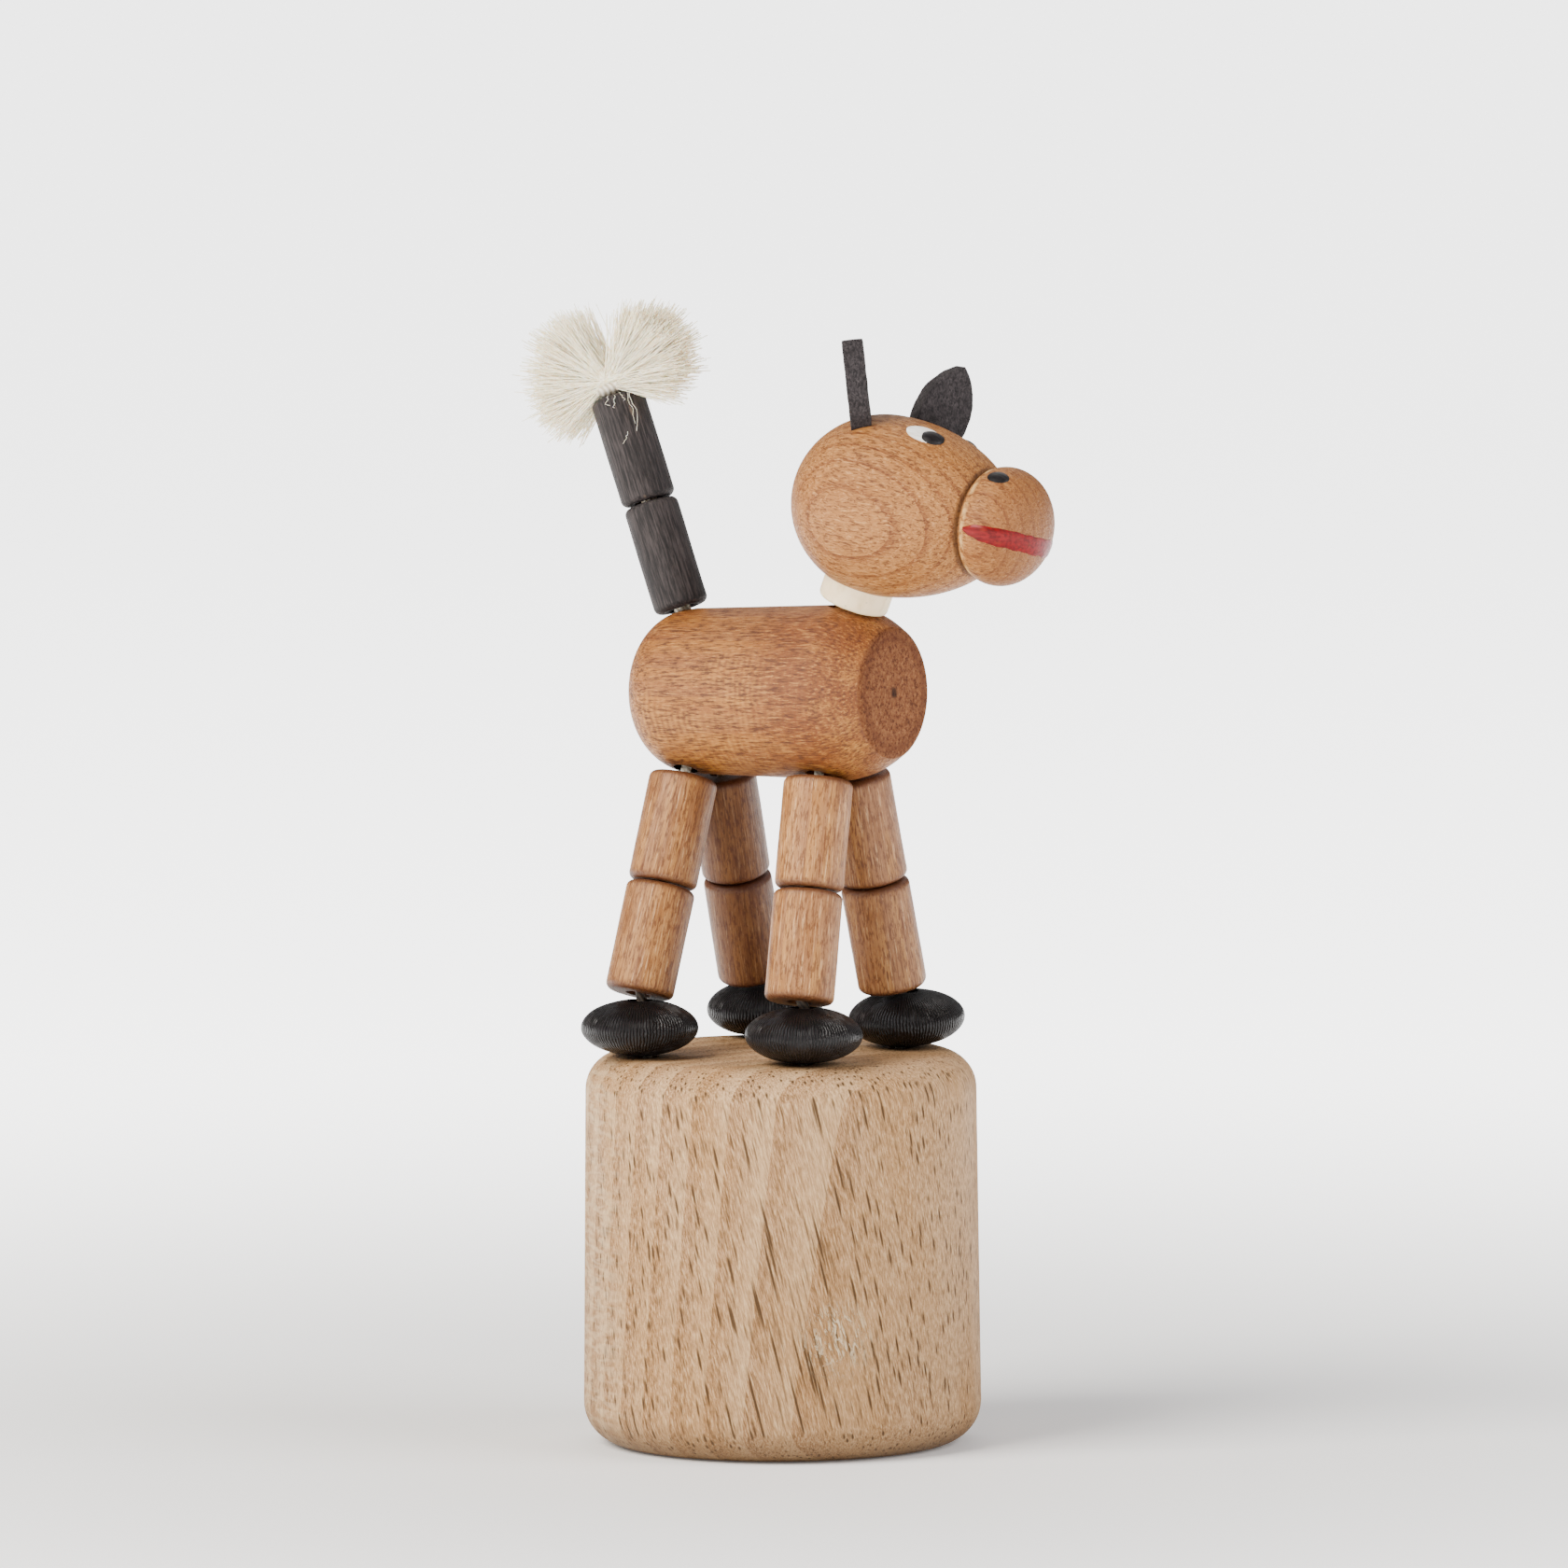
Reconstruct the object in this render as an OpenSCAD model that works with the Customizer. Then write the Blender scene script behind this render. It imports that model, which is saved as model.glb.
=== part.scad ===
// Push puppet: a turned wooden horse on a round base. Cords under spring tension hold the beads upright.
// Pressing the button under the base slackens the cords, so the legs lean over and head and tail drop.
// Millimetres. Origin at the centre of the base underside, Z up, the horse faces +X, its left side is +Y.

/* [Base] */
// Diameter of the base at its top edge
base_top_d = 34; // [30:0.5:44]
// Diameter of the base at its bottom edge
base_bottom_d = 34.6; // [30:0.1:46]
// Height of the base
base_h = 34.1; // [28:0.1:50]
// Rounding of the top edge
base_top_round = 3.2; // [1:0.1:4]
// Rounding of the bottom edge
base_bottom_round = 3.6; // [1:0.1:4]
// Bore from below that holds spring and button
cavity_d = 25; // [22:0.5:27]
// Solid wood left above the bore
web_t = 9; // [5:0.5:14]
// Upper half of the cord holes through the web
base_hole_d = 2.2; // [1.8:0.1:2.6]
// Wider lower half of the cord holes, nearer the middle
web_hole_d = 3; // [2.4:0.1:3.2]

/* [Push button] */
// Thickness of the button disc
button_t = 5; // [3:0.5:8]
// Height of the button face above the ground
button_recess = 1.6; // [0.5:0.1:4]
// Way the button can be pressed
press_travel = 8.5; // [4:0.5:9]
// Diameter of the knot pockets in the button face
pocket_d = 4.2; // [3:0.1:6]
// Depth of the knot pockets
pocket_depth = 2.4; // [1:0.1:3]

/* [Return spring] */
// Coil diameter at the middle of the wire
spring_d = 12; // [8:0.5:15]
// Wire thickness
spring_wire = 0.9; // [0.5:0.1:1.4]
// Working turns between the closed ends
spring_turns = 6; // [4:1:9]

/* [Feet] */
// Diameter of a foot disc
foot_d = 10.2; // [8:0.1:13]
// Thickness of a foot disc
foot_t = 4.9; // [3.5:0.1:7]
// Cord bore of a foot
foot_bore_d = 2.4; // [1.8:0.1:3.2]
// Step of the feet ahead of the leg line
foot_ahead = 0.8; // [-1:0.1:1]
// Sideways tilt of the left feet
foot_tilt_left = 5; // [0:0.5:8]
// Sideways tilt of the right feet
foot_tilt_right = 1; // [0:0.5:8]

/* [Legs] */
// Diameter of the leg beads
leg_d = 6; // [5:0.1:8]
// Length of one leg bead
bead_l = 9.7; // [8:0.1:13]
// Edge rounding of the beads
bead_edge = 0.6; // [0.2:0.1:1]
// Cord bore of the leg beads
leg_bore_d = 2; // [1.6:0.1:2.8]
// Sideways lean of the front legs
splay_front = 14; // [8:0.5:22]
// Sideways lean of the rear legs
splay_rear = 18.5; // [8:0.5:22]
// Lean of the front legs to the front and of the rear legs to the rear
splay_fore = 2.6; // [0:0.1:5]
// Half the distance between front and rear hips
hip_half_x = 6.9; // [6:0.1:9]
// Half the distance between left and right hips
hip_half_y = 2.95; // [2.85:0.05:5]

/* [Body] */
// Largest diameter of the body
body_d = 15.2; // [12:0.1:19]
// Diameter of the body where its rear rounding starts
body_rear_d = 14.4; // [11:0.1:19]
// Length of the body
body_l = 24.8; // [22:0.1:32]
// Place of the middle between the hips, along X
figure_x = -1.0; // [-3:0.1:3]
// Distance from the middle between the hips to the front face
body_front = 12.8; // [11:0.1:17]
// Diameter of the flat front face
front_face_d = 10.8; // [8:0.1:13]
// Length of the sloped shoulder behind the front face
shoulder_l = 4.0; // [2:0.1:6]
// Rounding of the rear end
rear_round = 4.6; // [2:0.1:6]

/* [Neck and head] */
// Forward lean of the neck
neck_lean = 22; // [10:1:30]
// Outer diameter of the neck collar
collar_d = 6.2; // [5:0.1:8]
// Height of the neck collar
collar_h = 2.5; // [1.5:0.1:4]
// Bore of collar, neck and head for two cords
collar_bore_d = 3; // [2.4:0.1:4]
// Largest diameter of the head
head_d = 15.7; // [13:0.1:20]
// Length from the widest place of the head to its back
head_back = 8.4; // [6:0.1:11]
// Length from the widest place of the head to the groove
nose_l = 9.8; // [8:0.1:15]
// Diameter of the head at the groove
groove_d = 9.4; // [7:0.1:12]
// Depth of the groove
groove_depth = 0.35; // [0.2:0.05:0.8]
// Largest diameter of the muzzle
muzzle_d = 10.3; // [8:0.1:13]
// Length of the muzzle
muzzle_l = 6.2; // [4:0.1:8]
// Nose-down lean of the head
head_pitch = 7; // [0:1:15]
// Depth of the collar seat in the head
seat_depth = 1.1; // [0.6:0.1:1.6]

/* [Ears] */
// Length of an ear with its glued foot
ear_l = 9.4; // [6:0.1:12]
// Width of an ear
ear_w = 4.8; // [3:0.1:7]
// Thickness of an ear
ear_t = 1.8; // [1:0.1:3]
// Part of the ear that is glued into the head
ear_sunk = 1.8; // [1:0.1:2.5]

/* [Face] */
// Roll of the face and the ears round the nose, to the left
face_roll = 10.5; // [-15:0.5:15]
// Place of the eyes ahead of the widest place of the head
eye_along = 4.4; // [2:0.1:6]
// Turn of the eyes from the top of the head to the side
eye_turn = 27.5; // [15:0.5:50]
// Length of an eye white
eye_l = 3.3; // [2:0.1:4]
// Width of an eye white
eye_w = 2.4; // [1.6:0.1:3.5]
// Diameter of a pupil
pupil_d = 2; // [1:0.1:2.4]
// Place of the nostrils ahead of the groove
nostril_along = 2.5; // [1.5:0.1:3.5]
// Turn of the nostrils from the top of the head to the side
nostril_turn = 38.5; // [20:0.5:60]
// Diameter of a nostril
nostril_d = 1.5; // [1:0.1:2.4]
// Height of the mouth line
mouth_h = 1.3; // [0.6:0.1:2]
// Place of the mouth line below the nose axis
mouth_down = 1; // [0:0.1:3]
// Slope of the mouth line down to the front
mouth_slope = 7; // [0:1:30]

/* [Tail] */
// Diameter of the tail beads
tail_d = 4.8; // [4:0.1:6.5]
// Cord bore of the tail beads
tail_bore_d = 2.6; // [2.2:0.1:3]
// Backward lean of the tail
tail_lean = 20; // [5:1:30]
// Step of the tail foot to the rear of where it touches the body
tail_back = -0.2; // [-1:0.1:1]

/* [Tuft] */
// Reach of the yarn from the tie
tuft_r = 7.8; // [6:0.1:11]
// Thickness of the yarn bundle
tuft_t = 5; // [3:0.1:7]
// Half the spread of each fan of yarn
tuft_spread = 41; // [25:1:55]
// Upward bend of the front fan
tuft_rise_front = 23; // [0:1:35]
// Upward bend of the rear fan
tuft_rise_rear = 14; // [0:1:35]

/* [Cords] */
// Cord thickness
cord_d = 0.9; // [0.6:0.1:1.1]

/* [Clearances] */
// Gap between a bead and the next one
bead_gap = 0.14; // [0.1:0.01:0.3]
// Gap between a thigh and the body
hip_gap = 0.2; // [0.15:0.01:0.5]
// Gap under a foot
foot_gap = 0.08; // [0.05:0.01:0.2]
// Gap beside the button
button_gap = 0.3; // [0.2:0.05:0.6]
// Gap below the collar and below the tail
seat_gap = 0.16; // [0.1:0.01:0.3]
// Gap between the collar and its seat in the head
collar_gap = 0.1; // [0.05:0.01:0.2]
// Thickness of the paint marks
paint_t = 0.12; // [0.08:0.01:0.2]

/* [Hidden] */

beech = "#cbab86";
brown = "#a5703f";
light_brown = "#b98354";
leg_brown = "#a97b55";
black = "#2b2626";
ear_grey = "#3b3637";
ivory = "#e8dfcf";
white = "#f4f1ea";
red = "#b4202a";
steel = "#b9bcc0";
cord_white = "#d9cfbd";
yarn = "#f3ecdd";

FRONT = 1;
REAR = -1;
LEFT = 1;
RIGHT = -1;

// legs: one straight line from the hip down to the foot, its direction as a unit vector
function splay(f) = f == FRONT ? splay_front : splay_rear;
function leg_dir(f, s) = let(v = [f * tan(splay_fore), s * tan(splay(f)), -1]) v / norm(v);
function leg_cos(f) = -leg_dir(f, LEFT)[2];
function leg_sin(f) = leg_dir(f, LEFT)[1];

// reach of the oval foot from its centre towards a line that leans by an angle from the foot axis
function foot_reach(a) = norm([foot_t / 2 * cos(a), foot_d / 2 * sin(a)]);
function foot_tilt(s) = s == LEFT ? foot_tilt_left : foot_tilt_right;
foot_z = base_h + foot_gap + foot_reach(max(foot_tilt_left, foot_tilt_right));
function ankle_up(f) = bead_gap
    + max(foot_reach(splay(f) - foot_tilt_left), foot_reach(splay(f) - foot_tilt_right));
leg_run = 2 * bead_l + bead_gap;
function hip_z(f) = foot_z + (ankle_up(f) + leg_run) * leg_cos(f);
function hip(f, s) = [figure_x + f * hip_half_x, s * hip_half_y, hip_z(f)];
function along_leg(f, s, l) = hip(f, s) + leg_dir(f, s) * l;
function foot_at(f, s) = along_leg(f, s, leg_run + ankle_up(f)) + [foot_ahead, 0, 0];

// body axis: the leaning thigh tops keep their gap below the round body, which gives its height and pitch
body_r = body_d / 2;
function axis_z(f) = hip_z(f) + (body_r + hip_gap - hip_half_y * leg_sin(f)) / leg_cos(f);
body_pitch = atan((axis_z(FRONT) - axis_z(REAR)) / (2 * hip_half_x));
body_mid = [figure_x, 0, (axis_z(FRONT) + axis_z(REAR)) / 2];
body_dir = [cos(body_pitch), 0, sin(body_pitch)];
body_up = [-sin(body_pitch), 0, cos(body_pitch)];
function on_body(l, h) = body_mid + body_dir * l + body_up * h;
body_rear = body_l - body_front;
shoulder = body_front - shoulder_l;

// cord holes of a pair of legs meet on the middle plane inside the body
function meet(f) = hip(f, LEFT) - leg_dir(f, LEFT) * hip_half_y / leg_sin(f);

// neck: the collar stands on the edge between barrel and shoulder
neck_dir = [sin(neck_lean), 0, cos(neck_lean)];
collar_foot = on_body(shoulder, body_r) + neck_dir * seat_gap;
collar_top = collar_foot + neck_dir * collar_h;
head_r = head_d / 2;
head_c = collar_top + neck_dir * (head_r - seat_depth);
head_hole_end = collar_top + neck_dir * (0.38 * head_d);

// head profile: a ball at the back, a long half egg in front, then the groove and the muzzle
egg_l = nose_l / sqrt(1 - pow(groove_d / head_d, 2));
muzzle_r = muzzle_d / 2;
muzzle_mid = 0.34 * muzzle_l;

// tail: stands on the rounded rear end of the body
tail_dir = [-sin(tail_lean), 0, cos(tail_lean)];
tail_r = tail_d / 2;
tail_side = [-cos(tail_lean), 0, -sin(tail_lean)];
tail_foot = on_body(rear_round - body_rear, body_rear_d / 2 - rear_round)
    + tail_dir * (rear_round + seat_gap) + tail_side * tail_back;
tail_mid = tail_foot + tail_dir * (bead_l + bead_gap);
tail_top = tail_mid + tail_dir * bead_l;
tie_at = tail_top + tail_dir * 1.2;

// button and spring
button_r = cavity_d / 2 - button_gap;
button_top = button_recess + button_t;
web_z = base_h - web_t;

// cords run inwards from the feet through stepped holes to the button
web_mid = web_z + web_t / 2;
function pulled_in(f, s, share, z) = [share * foot_at(f, s)[0], share * foot_at(f, s)[1], z];
function hole_high(f, s, z) = pulled_in(f, s, 0.95, z);
function hole_step(f, s) = pulled_in(f, s, 0.91, web_mid);
function hole_low(f, s, z) = pulled_in(f, s, 0.84, z);
function button_hole(f, s) = pulled_in(f, s, 0.7, button_recess);

// outline helpers
function arc_points(c, r, a0, a1, n = 8) =
    [for (i = [0:n]) let(a = a0 + (a1 - a0) * i / n) c + r * [cos(a), sin(a)]];
function oval_points(c, rx, ry, a0, a1, n = 16) =
    [for (i = [0:n]) let(a = a0 + (a1 - a0) * i / n) c + [rx * cos(a), ry * sin(a)]];

// turned shape from a half outline of [radius, height] points
module turned(points) rotate_extrude($fn = 96) polygon(points);

// round hole or pin from point p to point q
module rod(p, q, d) {
    v = q - p;
    stand_at(p, v) cylinder(d = d, h = norm(v), $fn = 48);
}

// puts a shape that stands on Z at point p, looking along direction v
module stand_at(p, v) translate(p) rotate([0, acos(v[2] / norm(v)), atan2(v[1], v[0])]) children();

// cylinder with rounded edges and a cord bore
module bead(d, l, bore) {
    r = d / 2;
    difference() {
        turned(concat([[0, 0]], arc_points([r - bead_edge, bead_edge], bead_edge, -90, 0),
            arc_points([r - bead_edge, l - bead_edge], bead_edge, 0, 90), [[0, l]]));
        translate([0, 0, -1]) cylinder(d = bore, h = l + 2, $fn = 48);
    }
}

// tube swept along a route: one ring of eight points at each route point
function route_dir(p, i) = let(a = p[max(0, i - 1)], b = p[min(len(p) - 1, i + 1)]) (b - a) / norm(b - a);
function ring(c, t, r) = let(u0 = cross(t, [0, 1, 0]), u = u0 / norm(u0), v = cross(t, u))
    [for (k = [0:7]) c + r * (cos(45 * k) * u + sin(45 * k) * v)];
module tube(p, r) {
    n = len(p);
    points = [for (i = [0:n - 1]) for (q = ring(p[i], route_dir(p, i), r)) q];
    sides = [for (i = [0:n - 2]) for (k = [0:7]) [8 * i + k, 8 * i + (k + 1) % 8,
        8 * i + 8 + (k + 1) % 8, 8 * i + 8 + k]];
    caps = [[for (k = [7:-1:0]) k], [for (k = [0:7]) 8 * (n - 1) + k]];
    polyhedron(points, concat(sides, caps));
}

// base drum with spring bore and cord holes
module base() color(beech) difference() {
    turned(concat([[0, 0]],
        arc_points([base_bottom_d / 2 - base_bottom_round, base_bottom_round],
            base_bottom_round, -90, 0, 10),
        arc_points([base_top_d / 2 - base_top_round, base_h - base_top_round],
            base_top_round, 0, 90, 10),
        [[0, base_h]]));
    translate([0, 0, -1]) cylinder(d = cavity_d, h = web_z + 1, $fn = 96);
    for (f = [FRONT, REAR]) for (s = [LEFT, RIGHT]) {
        rod(hole_high(f, s, web_mid), hole_high(f, s, base_h + 1), base_hole_d);
        rod(hole_low(f, s, web_z - 1), hole_low(f, s, web_mid), web_hole_d);
    }
}

// push button disc with a cord hole and a knot pocket below each leg
module push_button() color(beech) difference() {
    translate([0, 0, button_recess]) turned(concat([[0, 0]],
        arc_points([button_r - 0.8, 0.8], 0.8, -90, 0, 4),
        arc_points([button_r - 0.5, button_t - 0.5], 0.5, 0, 90, 4), [[0, button_t]]));
    for (f = [FRONT, REAR]) for (s = [LEFT, RIGHT]) {
        translate(button_hole(f, s) - [0, 0, 1]) cylinder(d = cord_d + 0.9, h = button_t + 2, $fn = 32);
        translate(button_hole(f, s) - [0, 0, 1]) cylinder(d = pocket_d, h = pocket_depth + 1, $fn = 32);
    }
}

// compression spring with one closed turn at each end
spring_low = button_top + spring_wire / 2 + 0.02;
spring_high = web_z - spring_wire / 2 - 0.02;
closed_rise = spring_wire + 0.08;
function spring_z(n) = n < 1 ? spring_low + closed_rise * n
    : n > spring_turns + 1 ? spring_high - closed_rise * (spring_turns + 2 - n)
    : spring_low + closed_rise + (spring_high - spring_low - 2 * closed_rise) * (n - 1) / spring_turns;
module return_spring() color(steel) {
    per_turn = 20;
    steps = per_turn * (spring_turns + 2);
    path = [for (i = [0:steps]) let(n = i / per_turn, a = 360 * n)
        [spring_d / 2 * cos(a), spring_d / 2 * sin(a), spring_z(n)]];
    coil(path, spring_wire / 2);
}
module coil(p, r) {
    n = len(p);
    points = [for (i = [0:n - 1]) let(out = [p[i][0], p[i][1], 0] / (spring_d / 2)) for (k = [0:7])
        p[i] + r * (cos(45 * k) * out + sin(45 * k) * [0, 0, 1])];
    sides = [for (i = [0:n - 2]) for (k = [0:7]) [8 * i + 8 + k, 8 * i + 8 + (k + 1) % 8,
        8 * i + (k + 1) % 8, 8 * i + k]];
    caps = [[for (k = [0:7]) k], [for (k = [7:-1:0]) 8 * (n - 1) + k]];
    polyhedron(points, concat(sides, caps));
}

// cord knots in their pockets below the button
knot_d = 2.2 * cord_d + 0.4;
module button_knots() color(cord_white) for (f = [FRONT, REAR]) for (s = [LEFT, RIGHT])
    translate(button_hole(f, s) + [0, 0, pocket_depth - knot_d / 2 - 0.02]) sphere(d = knot_d, $fn = 32);

// foot: a flattened disc with the cord bore along its axis
module foot(f, s) color(black) translate(foot_at(f, s)) rotate([s * foot_tilt(s), 0, 0])
    difference() {
        turned(oval_points([0, 0], foot_d / 2, foot_t / 2, -90, 90, 24));
        translate([0, 0, -foot_t]) cylinder(d = foot_bore_d, h = 2 * foot_t, $fn = 48);
    }
module foot_front_left() foot(FRONT, LEFT);
module foot_front_right() foot(FRONT, RIGHT);
module foot_rear_left() foot(REAR, LEFT);
module foot_rear_right() foot(REAR, RIGHT);

// shin and thigh beads of a leg
module leg_bead(f, s, l) color(leg_brown) stand_at(along_leg(f, s, l), -leg_dir(f, s))
    bead(leg_d, bead_l, leg_bore_d);
module shin(f, s) leg_bead(f, s, leg_run);
module thigh(f, s) leg_bead(f, s, bead_l);
module shin_front_left() shin(FRONT, LEFT);
module shin_front_right() shin(FRONT, RIGHT);
module shin_rear_left() shin(REAR, LEFT);
module shin_rear_right() shin(REAR, RIGHT);
module thigh_front_left() thigh(FRONT, LEFT);
module thigh_front_right() thigh(FRONT, RIGHT);
module thigh_rear_left() thigh(REAR, LEFT);
module thigh_rear_right() thigh(REAR, RIGHT);

// barrel body with its cord holes
module body() color(brown) difference() {
    stand_at(on_body(-body_rear, 0), body_dir) turned(concat([[0, 0]],
        arc_points([body_rear_d / 2 - rear_round, rear_round], rear_round, -90, 0, 12),
        [[body_r, body_l - shoulder_l], [front_face_d / 2 + 0.4, body_l - 0.3],
        [front_face_d / 2, body_l], [0, body_l]]));
    for (f = [FRONT, REAR]) for (s = [LEFT, RIGHT])
        rod(along_leg(f, s, 2), meet(f), leg_bore_d + 0.2);
    rod(meet(FRONT) - neck_dir, collar_top, collar_bore_d);
    rod(meet(REAR) - tail_dir, tail_foot + tail_dir, tail_bore_d);
}

// neck collar
module neck_collar() color(ivory) stand_at(collar_foot, neck_dir) difference() {
    turned(concat([[0, 0]], arc_points([collar_d / 2 - 0.3, 0.3], 0.3, -90, 0, 4),
        arc_points([collar_d / 2 - 0.3, collar_h - 0.3], 0.3, 0, 90, 4), [[0, collar_h]]));
    translate([0, 0, -1]) cylinder(d = collar_bore_d, h = collar_h + 2, $fn = 48);
}

// head frame: Z runs from the widest place to the nose
module head_frame() translate(head_c) rotate([0, 90 + head_pitch, 0]) children();
module head_form(grow) {
    g = grow;
    nose_a = acos(groove_d / head_d);
    turned(concat(oval_points([0, 0], head_r + g, head_back + g, -90, 0, 20),
        [for (i = [1:14]) let(a = nose_a * i / 14) [(head_r + g) * cos(a), egg_l * sin(a)]],
        [[groove_d / 2 - groove_depth + g, nose_l + 0.2]],
        [[groove_d / 2 - 0.02 + g, nose_l + 0.45]],
        oval_points([0, nose_l + muzzle_mid], muzzle_r + g, muzzle_l - muzzle_mid + g, -20, 90, 16)));
}
module head() color(light_brown) difference() {
    head_frame() head_form(0);
    rod(collar_foot - neck_dir, collar_top + neck_dir * collar_gap, collar_d + 2 * collar_gap);
    rod(collar_top - neck_dir, head_hole_end, collar_bore_d);
    ear(LEFT, 0.05);
    ear(RIGHT, 0.05);
}

// peg that holds the cord ends in the head
neck_side = [cos(neck_lean), 0, -sin(neck_lean)];
peg_end = head_hole_end + neck_side * (collar_bore_d / 2 - 0.65 * cord_d) - neck_dir * 0.05;
module head_peg() color(beech) rod(peg_end - neck_dir * 3.6, peg_end, cord_d);

// place on the head: distance ahead of the widest place, turn from the top to one side, radius
function head_r_at(t) = head_r * sqrt(1 - pow(t / (t < 0 ? head_back : egg_l), 2));
function muzzle_r_at(t) = muzzle_r * sqrt(1 - pow((t - muzzle_mid) / (muzzle_l - muzzle_mid), 2));
module at_face(along, turn, s, r)
    head_frame() rotate([0, 0, -face_roll - s * turn]) translate([-r, 0, along]) children();

// ear: a pointed leaf glued into the head; the two stand apart, as each was glued by hand
ear_along = [-1.9, 1];
ear_round = 29.5;
ear_below = [0.3, 1.3];
ear_turn = [[13, -6, 33], [-25, 0, -33]];
nose_dir = [cos(head_pitch), 0, -sin(head_pitch)];
crown_dir = [sin(head_pitch), 0, cos(head_pitch)];
function ear_foot(i, s) = let(r = head_r_at(ear_along[i]) - ear_below[i], a = face_roll + s * ear_round)
    head_c + nose_dir * ear_along[i] + crown_dir * r * cos(a) + [0, r * sin(a), 0];
ear_bow = (ear_l * ear_l + ear_w * ear_w) / (4 * ear_w);
module ear(s, clear) {
    i = s == LEFT ? 1 : 0;
    translate(ear_foot(i, s)) rotate([0, 0, ear_turn[i][2]]) rotate([0, ear_turn[i][1], 0])
        rotate([ear_turn[i][0], 0, 0]) translate([-ear_t / 2 - clear, 0, ear_l / 2 - ear_sunk])
        rotate([90, 0, 90]) linear_extrude(ear_t + 2 * clear) intersection() {
            translate([ear_bow - ear_w / 2 - clear, 0]) circle(r = ear_bow, $fn = 96);
            translate([ear_w / 2 + clear - ear_bow, 0]) circle(r = ear_bow, $fn = 96);
            translate([-ear_w, -ear_l / 2 + 1]) square([2 * ear_w, ear_l + 2]);
        }
}
module ear_left() color(ear_grey) ear(LEFT, 0);
module ear_right() color(ear_grey) ear(RIGHT, 0);

// paint marks: a thin skin of paint on the head, and round drops of gloss paint
module skin() difference() {
    head_frame() head_form(paint_t);
    head_frame() head_form(0);
}
module drop(along, turn, s, r, d, rise) {
    ball_r = (d * d / 4 + rise * rise) / (2 * rise);
    at_face(along, turn, s, r + rise - ball_r) sphere(r = ball_r, $fn = 48);
}
pupil_rise = 0.35;
nostril_rise = 0.15;
pupil_along = eye_along + (eye_l - pupil_d) / 2 + 0.2;
module pupil_drop(s) drop(pupil_along, eye_turn, s, head_r_at(pupil_along), pupil_d, pupil_rise);
module eye_white(s) difference() {
    intersection() {
        skin();
        at_face(eye_along, eye_turn, s, head_r) rotate([0, 90, 0]) linear_extrude(head_r, center = true)
            polygon(oval_points([0, 0], eye_l / 2, eye_w / 2, 0, 360 - 360 / 24, 23));
    }
    pupil_drop(s);
}
module pupil(s) difference() {
    pupil_drop(s);
    head_frame() head_form(0);
}
module nostril(s) difference() {
    drop(nose_l + nostril_along, nostril_turn, s, muzzle_r_at(nostril_along), nostril_d, nostril_rise);
    head_frame() head_form(0);
}
module eye_whites() color(white) for (s = [LEFT, RIGHT]) eye_white(s);
module pupils() color(black) for (s = [LEFT, RIGHT]) pupil(s);
module nostrils() color(black) for (s = [LEFT, RIGHT]) nostril(s);
// mouth: one band round the muzzle, pointed at both corners
mouth_back = 1.4;
module mouth_line() color(red) intersection() {
    skin();
    at_face(nose_l + 2 * mouth_back, 0, LEFT, -mouth_down) rotate([90, mouth_slope, 0])
        linear_extrude(muzzle_d + 2, center = true) polygon([[0, -mouth_back], [0.42 * mouth_h, 0],
            [0.58 * mouth_h, muzzle_l], [-0.58 * mouth_h, muzzle_l], [-0.42 * mouth_h, 0]]);
}

// tail beads
module tail_bead_lower() color(black) stand_at(tail_foot, tail_dir) bead(tail_d, bead_l, tail_bore_d);
module tail_bead_upper() color(black) stand_at(tail_mid, tail_dir) bead(tail_d, bead_l, tail_bore_d);

// tuft: two fans of yarn lying across the tail end, joined round the tie
tuft_core_d = tail_bore_d + 2;
module fan() intersection() {
    circle(r = tuft_r, $fn = 96);
    polygon([[-1.2, 0], [2 * tuft_r * cos(tuft_spread), 2 * tuft_r * sin(tuft_spread)],
        [4 * tuft_r, 0], [2 * tuft_r * cos(tuft_spread), -2 * tuft_r * sin(tuft_spread)]]);
}
module tail_tuft() color(yarn) difference() {
    stand_at(tie_at, tail_dir) rotate([90, 0, 0]) linear_extrude(tuft_t, center = true) {
        circle(d = tuft_core_d, $fn = 96);
        rotate(tuft_rise_front) fan();
        rotate(180 - tuft_rise_rear) fan();
    }
    rod(tail_mid, tail_top + tail_dir * tie_gap, tail_d + 2 * tie_gap);
    tie(tie_gap);
}

// tie: the knot of the rear cords, too wide for the tail bore, holds the tuft
tie_gap = 0.1;
module tie(clear) rod(tail_top + tail_dir * tie_gap, tie_at + tail_dir * (tie_gap + clear),
    tail_bore_d + 0.8 + 2 * clear);
module tuft_tie() color(cord_white) tie(0);

// cords: from the knot under the button through base, foot, leg and body
function low_route(f, s) = let(b = button_hole(f, s), c = foot_at(f, s), in = [0, -s * 0.5, 0]) [
    b + [0, 0, pocket_depth], b + [0, 0, button_t + 0.3],
    hole_low(f, s, web_z), hole_step(f, s), hole_high(f, s, base_h),
    c + in + [0, 0, foot_t / 2],
    along_leg(f, s, leg_run - leg_bore_d / 4), along_leg(f, s, 0.3 * leg_bore_d),
    along_leg(f, s, -leg_d / 2)];
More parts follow.
